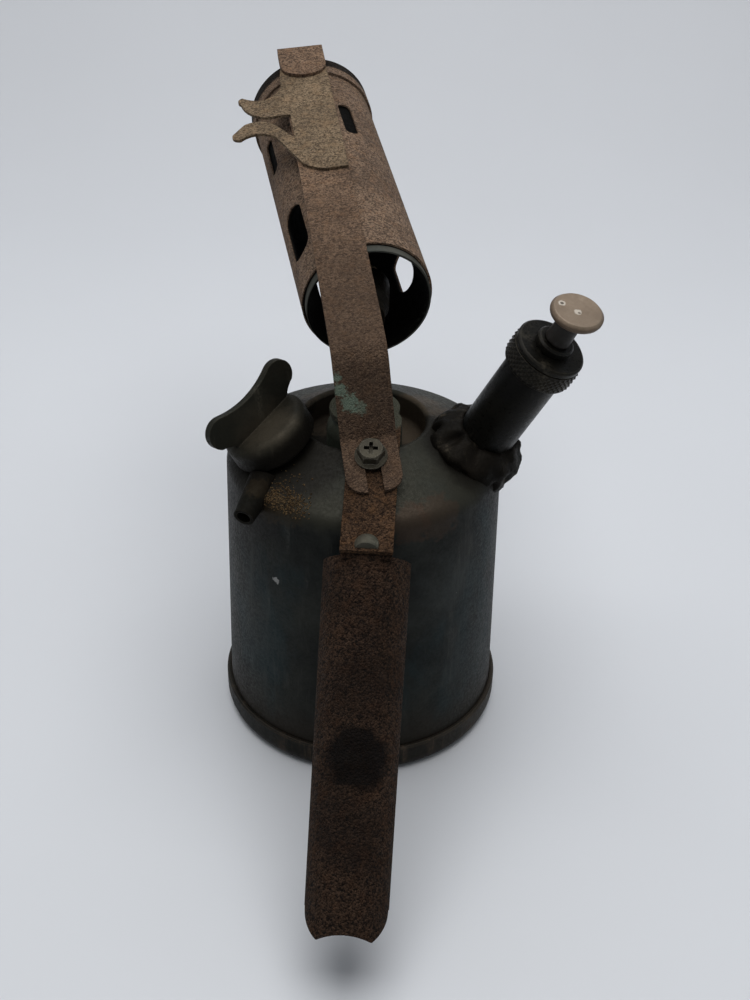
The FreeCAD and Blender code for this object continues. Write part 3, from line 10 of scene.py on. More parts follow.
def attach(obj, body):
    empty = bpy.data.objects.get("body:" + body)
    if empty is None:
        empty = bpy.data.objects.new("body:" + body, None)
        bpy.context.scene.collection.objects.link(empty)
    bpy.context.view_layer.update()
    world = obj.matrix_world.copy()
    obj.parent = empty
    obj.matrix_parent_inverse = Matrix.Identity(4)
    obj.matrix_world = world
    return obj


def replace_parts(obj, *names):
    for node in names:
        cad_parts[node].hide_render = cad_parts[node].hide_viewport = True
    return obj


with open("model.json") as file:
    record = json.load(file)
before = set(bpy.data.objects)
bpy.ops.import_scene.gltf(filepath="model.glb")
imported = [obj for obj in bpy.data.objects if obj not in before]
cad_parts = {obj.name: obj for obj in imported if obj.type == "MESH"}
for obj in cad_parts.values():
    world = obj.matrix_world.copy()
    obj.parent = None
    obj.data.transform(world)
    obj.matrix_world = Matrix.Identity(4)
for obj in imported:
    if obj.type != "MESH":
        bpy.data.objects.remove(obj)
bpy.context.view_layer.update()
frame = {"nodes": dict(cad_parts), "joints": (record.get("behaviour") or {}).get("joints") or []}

nodes = frame["nodes"]
joints = {joint["name"]: joint for joint in frame["joints"]}


# Node tree helpers.

colourSocket = "NodeSocketColor"
numberSocket = "NodeSocketFloat"
placeSocket = "NodeSocketVector"


def addNode(tree, kind, **settings):
    node = tree.nodes.new(kind)
    for key, value in settings.items():
        setattr(node, key, value)
    return node


def feed(tree, socket, value):
    if hasattr(value, "is_output"):
        tree.links.new(value, socket)
    else:
        socket.default_value = value


def newGroup(name, inputs, outputs):
    tree = bpy.data.node_groups.new(name, "ShaderNodeTree")
    for label, kind, value in inputs:
        socket = tree.interface.new_socket(name=label, in_out="INPUT", socket_type=kind)
        if value is not None:
            socket.default_value = value
    for label, kind in outputs:
        tree.interface.new_socket(name=label, in_out="OUTPUT", socket_type=kind)
    return tree, addNode(tree, "NodeGroupInput").outputs, addNode(tree, "NodeGroupOutput").inputs


def noiseIn(tree, vector, scale, detail=4.0, roughness=0.55):
    node = addNode(tree, "ShaderNodeTexNoise")
    feed(tree, node.inputs["Vector"], vector)
    feed(tree, node.inputs["Scale"], scale)
    feed(tree, node.inputs["Detail"], detail)
    feed(tree, node.inputs["Roughness"], roughness)
    return node.outputs["Fac"]


def grainIn(tree, vector, scale):
    cells = addNode(tree, "ShaderNodeTexVoronoi", feature="F1")
    feed(tree, cells.inputs["Vector"], vector)
    feed(tree, cells.inputs["Scale"], scale)
    split = addNode(tree, "ShaderNodeSeparateColor")
    feed(tree, split.inputs["Color"], cells.outputs["Color"])
    return split.outputs["Red"], cells.outputs["Distance"]


def rangeIn(tree, value, low, high, start=0.0, end=1.0):
    node = addNode(tree, "ShaderNodeMapRange", interpolation_type="SMOOTHSTEP")
    feed(tree, node.inputs["Value"], value)
    feed(tree, node.inputs["From Min"], low)
    feed(tree, node.inputs["From Max"], high)
    feed(tree, node.inputs["To Min"], start)
    feed(tree, node.inputs["To Max"], end)
    return node.outputs["Result"]


def mathIn(tree, kind, first, second):
    node = addNode(tree, "ShaderNodeMath", operation=kind)
    feed(tree, node.inputs[0], first)
    feed(tree, node.inputs[1], second)
    return node.outputs[0]


def timesIn(tree, first, second):
    return mathIn(tree, "MULTIPLY", first, second)


def vectorIn(tree, kind, first, second, result="Vector"):
    node = addNode(tree, "ShaderNodeVectorMath", operation=kind)
    feed(tree, node.inputs[0], first)
    feed(tree, node.inputs[1], second)
    return node.outputs[result]


def mixIn(tree, amount, first, second):
    node = addNode(tree, "ShaderNodeMix", data_type="RGBA")
    feed(tree, node.inputs["Factor"], amount)
    feed(tree, node.inputs["A"], first)
    feed(tree, node.inputs["B"], second)
    return node.outputs["Result"]


# Rust: fine sand of light and dark grains over a slow change of tone, with warm specks and pits.
# A noise is its scale, detail and roughness. A range is where a mask starts and ends, then its two levels.

rustLook = {
    "light": (0.285, 0.189, 0.126, 1), "dark": (0.046, 0.030, 0.022, 1), "warm": (0.270, 0.158, 0.092, 1),
    "pitTone": (0.014, 0.011, 0.010, 1), "pits": 0.22,
    "slow": (38.0, 5.0, 0.62), "patch": (210.0, 4.0, 0.65), "sand": (1100.0, 4.0, 0.75),
    "speck": (620.0, 4.0, 0.75), "coarseCells": 1500.0, "fineCells": 2700.0,
    "coarseShare": 0.40, "fineShare": 0.34, "sandRange": (0.36, 0.66, 0.0, 0.22),
    "grainRange": (0.14, 0.84), "slowRange": (0.42, 0.66, 0.0, 0.42), "patchRange": (0.50, 0.72, 0.0, 0.34),
    "speckRange": (0.58, 0.72, 0.0, 0.75), "pitRange": (0.40, 0.27), "roughRange": (0.3, 0.7, 0.66, 0.9),
    "lumpHeight": 0.9, "patchHeight": 0.8, "rounding": 0.0004, "specular": 0.07, "bump": 1.0,
}


def rustGroup(look):
    tree, ins, outs = newGroup("rustSurface", [
        ("Vector", placeSocket, None),
        ("Light", colourSocket, look["light"]),
        ("Dark", colourSocket, look["dark"]),
        ("Warm", colourSocket, look["warm"]),
        ("Pits", numberSocket, look["pits"]),
    ], [("Color", colourSocket), ("Roughness", numberSocket), ("Height", numberSocket)])
    slow = noiseIn(tree, ins["Vector"], *look["slow"])
    patch = noiseIn(tree, ins["Vector"], *look["patch"])
    sand = noiseIn(tree, ins["Vector"], *look["sand"])
    speck = noiseIn(tree, ins["Vector"], *look["speck"])
    coarse, lump = grainIn(tree, ins["Vector"], look["coarseCells"])
    fine = grainIn(tree, ins["Vector"], look["fineCells"])[0]
    grain = mathIn(
        tree, "ADD", timesIn(tree, coarse, look["coarseShare"]), timesIn(tree, fine, look["fineShare"]))
    grain = mathIn(tree, "ADD", grain, rangeIn(tree, sand, *look["sandRange"]))
    tone = mixIn(tree, rangeIn(tree, grain, *look["grainRange"]), ins["Dark"], ins["Light"])
    tone = mixIn(tree, rangeIn(tree, slow, *look["slowRange"]), tone, ins["Dark"])
    tone = mixIn(tree, rangeIn(tree, patch, *look["patchRange"]), tone, ins["Warm"])
    tone = mixIn(tree, rangeIn(tree, speck, *look["speckRange"]), tone, ins["Warm"])
    pit = timesIn(tree, rangeIn(tree, speck, *look["pitRange"]), ins["Pits"])
    height = mathIn(tree, "SUBTRACT", sand, timesIn(tree, lump, look["lumpHeight"]))
    height = mathIn(tree, "ADD", height, timesIn(tree, patch, look["patchHeight"]))
    feed(tree, outs["Color"], mixIn(tree, pit, tone, look["pitTone"]))
    feed(tree, outs["Roughness"], rangeIn(tree, patch, *look["roughRange"]))
    feed(tree, outs["Height"], height)
    return tree


# Patina: dark clouded metal with upright streaks, scuffs, a cool tinge, fine grit and pale specks.

patinaLook = {
    "dark": (0.0058, 0.0068, 0.0062, 1), "middle": (0.021, 0.0225, 0.0195, 1),
    "tinge": (0.011, 0.021, 0.023, 1), "scuff": (0.085, 0.085, 0.076, 1), "speckTone": (0.40, 0.40, 0.38, 1),
    "scuffing": 0.55, "specks": 0.5, "cloud": (30.0, 7.0, 0.66), "fine": (900.0, 4.0, 0.7),
    "streak": (130.0, 5.0, 0.7), "streakSquash": (1.0, 1.0, 0.16),
    "cool": (40.0, 5.0, 0.6), "coolSquash": (1.0, 1.0, 0.5),
    "cloudRange": (0.34, 0.68), "coolRange": (0.48, 0.70, 0.0, 0.8), "streakRange": (0.52, 0.76),
    "fineRange": (0.32, 0.66), "wearRange": (0.30, 0.60, 0.2, 0.8),
    "speckCells": 240.0, "speckRange": (0.13, 0.05), "pick": (64.0, 2.0), "pickRange": (0.63, 0.67),
    "roughRange": (0.3, 0.7, 0.44, 0.68), "metalRange": (0.3, 0.7, 0.2, 0.5),
    "rounding": 0.0006, "bump": 0.4,
}


def patinaGroup(look):
    tree, ins, outs = newGroup("patinaSurface", [
        ("Vector", placeSocket, None),
        ("Dark", colourSocket, look["dark"]),
        ("Middle", colourSocket, look["middle"]),
        ("Tinge", colourSocket, look["tinge"]),
        ("Scuff", colourSocket, look["scuff"]),
        ("Scuffing", numberSocket, look["scuffing"]),
        ("Specks", numberSocket, look["specks"]),
        ("Edge", numberSocket, 0.0),
    ], [("Color", colourSocket), ("Roughness", numberSocket), ("Metallic", numberSocket),
        ("Height", numberSocket)])
    cloud = noiseIn(tree, ins["Vector"], *look["cloud"])
    streak = noiseIn(tree, vectorIn(tree, "MULTIPLY", ins["Vector"], look["streakSquash"]), *look["streak"])
    fine = noiseIn(tree, ins["Vector"], *look["fine"])
    cool = noiseIn(tree, vectorIn(tree, "MULTIPLY", ins["Vector"], look["coolSquash"]), *look["cool"])
    tone = mixIn(tree, rangeIn(tree, cloud, *look["cloudRange"]), ins["Dark"], ins["Middle"])
    tone = mixIn(tree, rangeIn(tree, cool, *look["coolRange"]), tone, ins["Tinge"])
    rub = timesIn(tree, rangeIn(tree, streak, *look["streakRange"]), ins["Scuffing"])
    rub = timesIn(tree, rub, rangeIn(tree, fine, *look["fineRange"]))
    wear = timesIn(tree, ins["Edge"], rangeIn(tree, fine, *look["wearRange"]))
    tone = mixIn(tree, mathIn(tree, "MAXIMUM", rub, wear), tone, ins["Scuff"])
    dot = rangeIn(tree, grainIn(tree, ins["Vector"], look["speckCells"])[1], *look["speckRange"])
    pick = rangeIn(tree, noiseIn(tree, ins["Vector"], *look["pick"]), *look["pickRange"])
    dot = timesIn(tree, timesIn(tree, dot, pick), ins["Specks"])
    feed(tree, outs["Color"], mixIn(tree, dot, tone, look["speckTone"]))
    feed(tree, outs["Roughness"], rangeIn(tree, fine, *look["roughRange"]))
    feed(tree, outs["Metallic"], rangeIn(tree, cloud, *look["metalRange"]))
    feed(tree, outs["Height"], mathIn(tree, "ADD", fine, streak))
    return tree


# Deposits and painted shade: one round a place, one along a line and one about a line, each broken up by
# noise.

depositAndShadeLook = {"detail": 5.0, "roughness": 0.65, "middle": 0.5}


def depositAndShadeGroup(name, inputs, measure, look):
    tree, ins, outs = newGroup(name, [
        ("Vector", placeSocket, None),
        ("Color", colourSocket, None),
        ("Tone", colourSocket, None),
        ("From", numberSocket, None),
        ("To", numberSocket, None),
        ("Breakup", numberSocket, None),
        ("Fineness", numberSocket, None),
        ("Amount", numberSocket, None),
    ] + [(label, placeSocket, None) for label in inputs], [("Color", colourSocket), ("Mask", numberSocket)])
    broken = noiseIn(tree, ins["Vector"], ins["Fineness"], look["detail"], look["roughness"])
    broken = timesIn(tree, mathIn(tree, "SUBTRACT", broken, look["middle"]), ins["Breakup"])
    reach = mathIn(tree, "ADD", measure(tree, ins), broken)
    mask = timesIn(tree, rangeIn(tree, reach, ins["From"], ins["To"]), ins["Amount"])
    feed(tree, outs["Color"], mixIn(tree, mask, ins["Color"], ins["Tone"]))
    feed(tree, outs["Mask"], mask)
    return tree


def measureSpot(tree, ins):
    return vectorIn(tree, "DISTANCE", ins["Vector"], ins["Base"], "Value")


def measureAlong(tree, ins):
    offset = vectorIn(tree, "SUBTRACT", ins["Vector"], ins["Base"])
    return vectorIn(tree, "DOT_PRODUCT", offset, ins["Direction"], "Value")


def measureAbout(tree, ins):
    offset = vectorIn(tree, "SUBTRACT", ins["Vector"], ins["Base"])
    across = vectorIn(tree, "CROSS_PRODUCT", offset, ins["Direction"])
    return vectorIn(tree, "LENGTH", across, (0, 0, 0), "Value")


rustTree = rustGroup(rustLook)
patinaTree = patinaGroup(patinaLook)
depositsAndShade = {
    "spot": depositAndShadeGroup("depositAndShadeSpot", ["Base"], measureSpot, depositAndShadeLook),
    "along": depositAndShadeGroup("depositAndShadeAlong", ["Base", "Direction"], measureAlong, depositAndShadeLook),
    "about": depositAndShadeGroup("depositAndShadeAbout", ["Base", "Direction"], measureAbout, depositAndShadeLook),
}


# Materials put a surface group, its deposits and painted shade, and a bump on the shader.

edgeLook = {"samples": 4, "range": (0.985, 0.86)}  # the range is the cosine between rounded and plain normal


def newMaterial(name):
    material = bpy.data.materials.new(name)
    material.use_nodes = True
    tree = material.node_tree
    shader = tree.nodes["Principled BSDF"]
    coords = addNode(tree, "ShaderNodeTexCoord").outputs["Object"]
    return material, tree, shader, coords


def roundedNormal(tree, rounding):
    soft = addNode(tree, "ShaderNodeBevel", samples=edgeLook["samples"])
    feed(tree, soft.inputs["Radius"], rounding)
    return soft.outputs["Normal"]


def edgeMask(tree, rounded):
    plain = addNode(tree, "ShaderNodeNewGeometry").outputs["Normal"]
    return rangeIn(tree, vectorIn(tree, "DOT_PRODUCT", rounded, plain, "Value"), *edgeLook["range"])


def addBump(tree, shader, height, strength, distance, normal):
    bump = addNode(tree, "ShaderNodeBump")
    feed(tree, bump.inputs["Height"], height)
    feed(tree, bump.inputs["Strength"], strength)
    feed(tree, bump.inputs["Distance"], distance)
    feed(tree, bump.inputs["Normal"], normal)
    feed(tree, shader.inputs["Normal"], bump.outputs["Normal"])


def useGroup(tree, group, coords, **values):
    node = addNode(tree, "ShaderNodeGroup", node_tree=group)
    feed(tree, node.inputs["Vector"], coords)
    for label, value in values.items():
        feed(tree, node.inputs[label], value)
    return node.outputs


def addDepositsAndShade(tree, coords, tone, layers):
    for kind, values in layers:
        tone = useGroup(tree, depositsAndShade[kind], coords, Color=tone, **values)["Color"]
    return tone


def rustMaterial(name, layers=(), bumpDepth=0.0006, **values):
    material, tree, shader, coords = newMaterial(name)
    rounded = roundedNormal(tree, rustLook["rounding"])
    surface = useGroup(tree, rustTree, coords, **values)
    feed(tree, shader.inputs["Base Color"], addDepositsAndShade(tree, coords, surface["Color"], layers))
    feed(tree, shader.inputs["Roughness"], surface["Roughness"])
    feed(tree, shader.inputs["Specular IOR Level"], rustLook["specular"])
    addBump(tree, shader, surface["Height"], rustLook["bump"], bumpDepth, rounded)
    return material


def patinaMaterial(name, layers=(), bumpDepth=0.0002, gloss=0.0, wear=0.5, shine=0.09, **values):
    material, tree, shader, coords = newMaterial(name)
    rounded = roundedNormal(tree, patinaLook["rounding"])
    edge = timesIn(tree, edgeMask(tree, rounded), wear)
    surface = useGroup(tree, patinaTree, coords, Edge=edge, **values)
    feed(tree, shader.inputs["Base Color"], addDepositsAndShade(tree, coords, surface["Color"], layers))
    feed(tree, shader.inputs["Roughness"], mathIn(tree, "SUBTRACT", surface["Roughness"], gloss))
    feed(tree, shader.inputs["Metallic"], surface["Metallic"])
    feed(tree, shader.inputs["Specular IOR Level"], shine)
    addBump(tree, shader, surface["Height"], patinaLook["bump"], bumpDepth, rounded)
    return material


# Axes of the pieces, in metres. The filler's is its joint's, and the pump's takes its joint's direction.

hoodLine = {"Base": (-0.00266, 0.04906, 0.1385), "Direction": (-0.2461, 0.9517, 0.1840)}
pumpLine = {"Base": (0.0384, -0.0025, 0.10903), "Direction": joints["pump_stroke"]["axis"]}
fillerLine = {"Base": joints["cap_turn"]["pos_m"], "Direction": joints["cap_turn"]["axis"]}
knobLine = {"Base": (0.06614, -0.01854, 0.16795), "Direction": (0.2014, -0.2337, 0.9512)}
uprightLine = {"Base": (0.0, 0.0, 0.0), "Direction": (0.0, 0.0, 1.0)}
rearLine = {"Base": (0.0, 0.0, 0.0), "Direction": (0.0, 1.0, 0.0)}

tones = {
    "verdigris": (0.155, 0.215, 0.165, 1), "paleVerdigris": (0.066, 0.070, 0.053, 1),
    "sootAndShade": (0.0030, 0.0028, 0.0026, 1), "grimeAndShade": (0.0055, 0.0046, 0.0036, 1),
    "ochreDirt": (0.024, 0.0175, 0.010, 1), "oliveDust": (0.025, 0.0242, 0.0178, 1),
    "strapPaintedShade": (0.040, 0.026, 0.018, 1), "footStain": (0.022, 0.0175, 0.0135, 1),
    "gripBurn": (0.0018, 0.0012, 0.0010, 1), "gripUpper": (0.008, 0.0050, 0.0036, 1),
    "gripLower": (0.009, 0.0058, 0.0044, 1), "brownStain": (0.040, 0.025, 0.017, 1),
    "brownStainRight": (0.038, 0.024, 0.016, 1), "chip": (0.300, 0.300, 0.290, 1),
    "leftBloom": (0.042, 0.046, 0.044, 1), "rightBloom": (0.048, 0.057, 0.058, 1),
    "lowBloom": (0.046, 0.053, 0.053, 1), "dishRight": (0.060, 0.046, 0.032, 1),
    "dishLeft": (0.052, 0.041, 0.030, 1), "knobUnderShade": (0.007, 0.006, 0.005, 1),
    "knobEdge": (0.075, 0.050, 0.032, 1), "knobBrightMark": (0.50, 0.46, 0.40, 1),
    "knobPit": (0.045, 0.034, 0.024, 1), "knobDot": (0.060, 0.045, 0.030, 1),
    "capRub": (0.055, 0.046, 0.033, 1),
}


# Reach is in metres, breakup and core are shares of it, and a core under 0 fades over the whole spot.

def spot(centre, reach, tone, amount, breakup, fineness, core=0.6, rim=0.95):
    return ("spot", {
        "Base": centre, "From": reach * rim, "To": reach * core, "Tone": tones[tone], "Amount": amount,
        "Breakup": reach * breakup, "Fineness": fineness})


def band(kind, line, start, full, tone, amount, breakup, fineness):
    return (kind, dict(
        line, From=start, To=full, Tone=tones[tone], Amount=amount, Breakup=breakup, Fineness=fineness))


greenSpots = [
    ((-0.0088, -0.0160, 0.1418), 0.0028, 0.72, 1.9),
    ((-0.0072, -0.0172, 0.1378), 0.0032, 0.72, 1.9),
    ((-0.0040, -0.0186, 0.1340), 0.0036, 0.70, 2.0),
    ((0.0000, -0.0192, 0.1324), 0.0026, 0.50, 2.0),
    ((0.0118, -0.0180, 0.1345), 0.0020, 0.72, 1.9),
    ((0.0121, -0.0198, 0.1300), 0.0019, 0.72, 1.9),
    ((0.0124, -0.0215, 0.1262), 0.0017, 0.72, 1.9),
]
marks = {
    # The band is painted shade, darker towards the strap's front end; the green spots are verdigris.
    "strap": [band("along", rearLine, 0.085, 0.020, "strapPaintedShade", 0.6, 0.03, 120.0)] + [
        spot(centre, reach, "verdigris", amount, breakup, 640.0)
        for centre, reach, amount, breakup in greenSpots
    ],
    "grip": [
        spot((0.0050, -0.1050, 0.0600), 0.0125, "gripBurn", 0.92, 0.8, 160.0),
        spot((0.0050, -0.0870, 0.0740), 0.0120, "gripUpper", 0.35, 1.2, 120.0),
        spot((0.0030, -0.1230, 0.0460), 0.0150, "gripLower", 0.35, 1.2, 120.0),
    ],
    "tank": [
        band("along", uprightLine, 0.0985, 0.1060, "oliveDust", 0.75, 0.014, 60.0),
        band("along", uprightLine, 0.030, 0.010, "footStain", 0.7, 0.02, 50.0),
        # Both rings darken the tank: one round the pump's foot, and one under the filler cap as painted shade
        # of the cap.
        band("about", pumpLine, 0.026, 0.0185, "grimeAndShade", 0.8, 0.010, 90.0),
        band("about", fillerLine, 0.0340, 0.0245, "grimeAndShade", 0.85, 0.010, 160.0),
        spot((-0.0290, -0.0365, 0.1045), 0.0080, "ochreDirt", 0.6, 1.6, 700.0),
        spot((-0.0215, -0.0405, 0.1050), 0.0070, "ochreDirt", 0.5, 1.8, 700.0),
        spot((0.0180, -0.0425, 0.1040), 0.0085, "brownStain", 0.55, 1.6, 300.0),
        spot((0.0270, -0.0378, 0.1040), 0.0095, "brownStainRight", 0.50, 1.6, 300.0),
        spot((-0.0269, -0.0400, 0.0765), 0.0016, "chip", 0.7, 2.2, 700.0),
        spot((-0.0373, -0.0305, 0.0513), 0.0300, "leftBloom", 0.4, 1.1, 150.0, -0.4),
        spot((0.0336, -0.0346, 0.0720), 0.0260, "rightBloom", 0.45, 1.2, 170.0, -0.4),
        spot((0.0404, -0.0263, 0.0395), 0.0300, "lowBloom", 0.45, 1.2, 160.0, -0.4),
        spot((0.0180, 0.0120, 0.1085), 0.0150, "dishRight", 0.8, 1.2, 160.0),
        spot((-0.0120, 0.0150, 0.1085), 0.0150, "dishLeft", 0.7, 1.2, 160.0),
    ],
    "knob": [
        # Painted shade: the knob goes near black underneath.
        band("along", knobLine, 0.0006, -0.0002, "knobUnderShade", 0.97, 0.0008, 600.0),
        band("about", knobLine, 0.0079, 0.0086, "knobEdge", 0.7, 0.001, 500.0),
        # Bright marks at the knob's two dimples, with a dark pit in the first.
        spot((0.06154, -0.01785, 0.17225), 0.0015, "knobBrightMark", 0.8, 0.6, 900.0),
        spot((0.06648, -0.02028, 0.17060), 0.0016, "knobBrightMark", 0.7, 0.9, 900.0),
        spot((0.06154, -0.01785, 0.17225), 0.0008, "knobPit", 0.9, 0.5, 900.0),
        spot((0.06690, -0.02060, 0.17045), 0.0006, "knobDot", 0.8, 0.5, 900.0),
    ],
    "liner": [
        # Soot with painted shade: the liner goes black inside the hood, all but its proud rear end.
        band("about", hoodLine, 0.02245, 0.02225, "sootAndShade", 0.98, 0.0004, 500.0),
        band("along", hoodLine, -0.0002, 0.0006, "sootAndShade", 0.98, 0.0006, 500.0),
    ],
    # Soot with painted shade: the hood's inner face goes black.
    "hood": [band("about", hoodLine, 0.02345, 0.02325, "sootAndShade", 0.96, 0.0004, 500.0)],
    "ring": [
        # Soot with painted shade: the ring's inner face and its mouth end go black.
        band("about", hoodLine, 0.02345, 0.02325, "sootAndShade", 0.96, 0.0004, 500.0),
        band("along", hoodLine, 0.1268, 0.1284, "sootAndShade", 0.94, 0.0016, 300.0),
    ],
    "bracket": [band("about", uprightLine, 0.0190, 0.0165, "paleVerdigris", 0.9, 0.003, 260.0)],
    "spout": [
        # Painted shade: the spout goes dark close under the filler cap.
        band("about", fillerLine, 0.0265, 0.0205, "grimeAndShade", 0.9, 0.006, 260.0),
        spot((-0.0325, -0.0330, 0.1080), 0.0050, "ochreDirt", 0.4, 1.8, 700.0),
    ],
    "cap": [
        spot((-0.0300, -0.0195, 0.1235), 0.0150, "capRub", 0.6, 0.8, 220.0, 0.2),
        # Painted shade: the cap's lower side and the neck go dark.
        band("along", fillerLine, 0.0100, 0.0055, "grimeAndShade", 0.85, 0.004, 140.0),
    ],
}

materials = {
    "tank": patinaMaterial("tankPatinaAndShade", marks["tank"], wear=0.15),
    "pan": patinaMaterial(
        "panPatina", Middle=(0.026, 0.0225, 0.018, 1), Tinge=(0.019, 0.0195, 0.017, 1),
        Scuff=(0.12, 0.085, 0.058, 1), Scuffing=0.75, wear=0.8),
    "barrel": patinaMaterial(
        "barrelPatina", gloss=0.2, Dark=(0.0034, 0.0034, 0.0030, 1), Middle=(0.011, 0.0098, 0.0072, 1),
        Tinge=(0.0052, 0.0078, 0.0088, 1), Scuff=(0.105, 0.091, 0.068, 1), Specks=0.12, Scuffing=0.5),
    "bronze": patinaMaterial(
        "bronzePatinaAndShade", marks["cap"], bumpDepth=0.0003, shine=0.07, Dark=(0.0075, 0.0070, 0.0052, 1),
        Middle=(0.022, 0.0200, 0.0145, 1), Tinge=(0.013, 0.014, 0.011, 1), Scuff=(0.090, 0.082, 0.063, 1),
        Scuffing=0.75, Specks=0.05),
    "solder": patinaMaterial(
        "sootySolder", bumpDepth=0.0006, shine=0.05, Dark=(0.0026, 0.0023, 0.0019, 1),
        Middle=(0.011, 0.0088, 0.0064, 1), Tinge=(0.0060, 0.0055, 0.0044, 1),
        Scuff=(0.095, 0.080, 0.058, 1), Scuffing=0.9, Specks=0.4),
    "spout": patinaMaterial(
        "spoutGrimeAndShade", marks["spout"], bumpDepth=0.0005, gloss=-0.2, shine=0.05,
        Dark=(0.0034, 0.0032, 0.0026, 1), Middle=(0.013, 0.0115, 0.0082, 1),
        Tinge=(0.0085, 0.0085, 0.0066, 1), Scuff=(0.075, 0.066, 0.048, 1), Scuffing=0.7, Specks=0.0),
    "boss": patinaMaterial(
        "bossVerdigris", bumpDepth=0.0003, Dark=(0.022, 0.022, 0.017, 1), Middle=(0.060, 0.062, 0.048, 1),
        Tinge=(0.070, 0.092, 0.072, 1), Scuff=(0.15, 0.16, 0.125, 1), Specks=0.0),
    "strap": rustMaterial("strapRustAndShade", marks["strap"]),
    "hood": rustMaterial(
        "hoodRustAndShade", marks["hood"], Light=(0.285, 0.197, 0.136, 1), Dark=(0.048, 0.033, 0.025, 1)),
    "ring": rustMaterial(
        "ringRustAndShade", marks["ring"], Light=(0.250, 0.172, 0.120, 1), Dark=(0.058, 0.040, 0.030, 1)),
    "rest": rustMaterial(
        "restRust", Light=(0.300, 0.222, 0.144, 1), Dark=(0.056, 0.040, 0.027, 1),
        Warm=(0.31, 0.205, 0.120, 1)),
    # The grip's rust colours are painted dark as shade.
    "grip": rustMaterial(
        "gripRustPaintedShade", marks["grip"], Light=(0.052, 0.031, 0.0200, 1), Dark=(0.0022, 0.0014, 0.0010, 1),
        Warm=(0.060, 0.031, 0.0180, 1)),
    # The bracket's rust colours are painted dark as shade.
    "bracket": rustMaterial(
        "bracketRustPaintedShade", marks["bracket"], Light=(0.098, 0.056, 0.032, 1), Dark=(0.011, 0.0064, 0.0042, 1),
        Warm=(0.14, 0.072, 0.034, 1)),
    "liner": patinaMaterial(
        "linerSteelAndShade", marks["liner"], gloss=-0.3, shine=0.03, Dark=(0.034, 0.034, 0.029, 1),
        Middle=(0.082, 0.082, 0.072, 1), Tinge=(0.060, 0.070, 0.064, 1), Scuff=(0.18, 0.18, 0.16, 1),
        Specks=0.0),
    "steel": patinaMaterial(
        "rodSteel", gloss=0.12, Dark=(0.050, 0.047, 0.042, 1), Middle=(0.13, 0.125, 0.115, 1),
        Tinge=(0.09, 0.09, 0.085, 1), Scuff=(0.28, 0.27, 0.25, 1), Specks=0.0),
    "zinc": patinaMaterial(
        "zincPlate", gloss=0.12, Dark=(0.013, 0.0115, 0.008, 1), Middle=(0.048, 0.043, 0.031, 1),
        Tinge=(0.036, 0.035, 0.027, 1), Scuff=(0.24, 0.22, 0.18, 1), Specks=0.0, wear=0.9),
    "rivet": patinaMaterial(
        "rivetMetal", Dark=(0.030, 0.027, 0.020, 1), Middle=(0.075, 0.071, 0.055, 1),
        Tinge=(0.058, 0.066, 0.052, 1), Scuff=(0.24, 0.23, 0.19, 1), Specks=0.0),
    "knob": patinaMaterial(
        "wornKnobAndShade", marks["knob"], gloss=0.12, shine=0.25, Dark=(0.110, 0.079, 0.054, 1),
        Middle=(0.245, 0.189, 0.138, 1), Tinge=(0.175, 0.134, 0.096, 1), Scuff=(0.42, 0.35, 0.27, 1),
        Specks=0.0),
    "brass": patinaMaterial(
        "satinBrass", gloss=0.1, Dark=(0.20, 0.150, 0.090, 1), Middle=(0.36, 0.285, 0.18, 1),
        Tinge=(0.28, 0.225, 0.15, 1), Scuff=(0.52, 0.44, 0.31, 1), Specks=0.0),
    "leather": patinaMaterial(
        "oiledLeather", Dark=(0.030, 0.016, 0.009, 1), Middle=(0.080, 0.046, 0.026, 1),
        Tinge=(0.05, 0.030, 0.018, 1), Scuff=(0.13, 0.085, 0.055, 1), Specks=0.0),
    "cotton": patinaMaterial(
        "cottonWick", bumpDepth=0.0004, Dark=(0.32, 0.28, 0.21, 1), Middle=(0.52, 0.47, 0.37, 1),
        Tinge=(0.42, 0.38, 0.29, 1), Scuff=(0.62, 0.58, 0.48, 1), Specks=0.0),
    "rubber": patinaMaterial(
        "darkRubber", Dark=(0.010, 0.010, 0.010, 1), Middle=(0.024, 0.024, 0.023, 1),
        Tinge=(0.018, 0.018, 0.019, 1), Scuff=(0.05, 0.05, 0.048, 1), Specks=0.0),
    "grit": rustMaterial(
        "ochreGrit", Pits=0.0, Light=(0.150, 0.098, 0.048, 1), Dark=(0.020, 0.014, 0.009, 1),
        Warm=(0.18, 0.100, 0.040, 1)),
}
print("materials ready")

finishes = {
    "tank_shell": "tank", "base_pan": "pan", "stem_boss": "boss", "stem_nut": "bronze",
    "fuel_tube": "brass", "fuel_wick": "cotton", "riser": "solder", "burner": "solder",
    "jet_nipple": "brass", "hood": "hood", "hood_liner": "liner", "mouth_ring": "ring",
    "hood_strap": "strap", "iron_rest": "rest", "clamp_screw": "zinc", "handle_bracket": "bracket",
    "handle_grip": "grip", "handle_rivet": "rivet", "filler_neck": "bronze", "filler_cap": "bronze",
    "filler_washer": "rubber", "vent_spout": "spout", "pump_boss": "solder", "pump_barrel": "barrel",
    "pump_cap": "barrel", "pump_gland": "barrel", "pump_rod": "steel", "pump_knob": "knob",
    "piston_cup": "leather", "piston_washer": "brass", "piston_nut": "brass", "valve_body": "brass",
    "valve_disc": "rubber", "valve_plug": "brass",
}
for nodeName, finish in finishes.items():
    mesh = nodes[nodeName].data
    mesh.materials.clear()
    mesh.materials.append(materials[finish])
print("node finishes set")


# Detail pieces that ride on the tank.

mergeGap = 0.000005


def seatMatrix(line):
    turn = Vector((0, 0, 1)).rotation_difference(Vector(line["Direction"]))
    return Matrix.Translation(line["Base"]) @ turn.to_matrix().to_4x4()


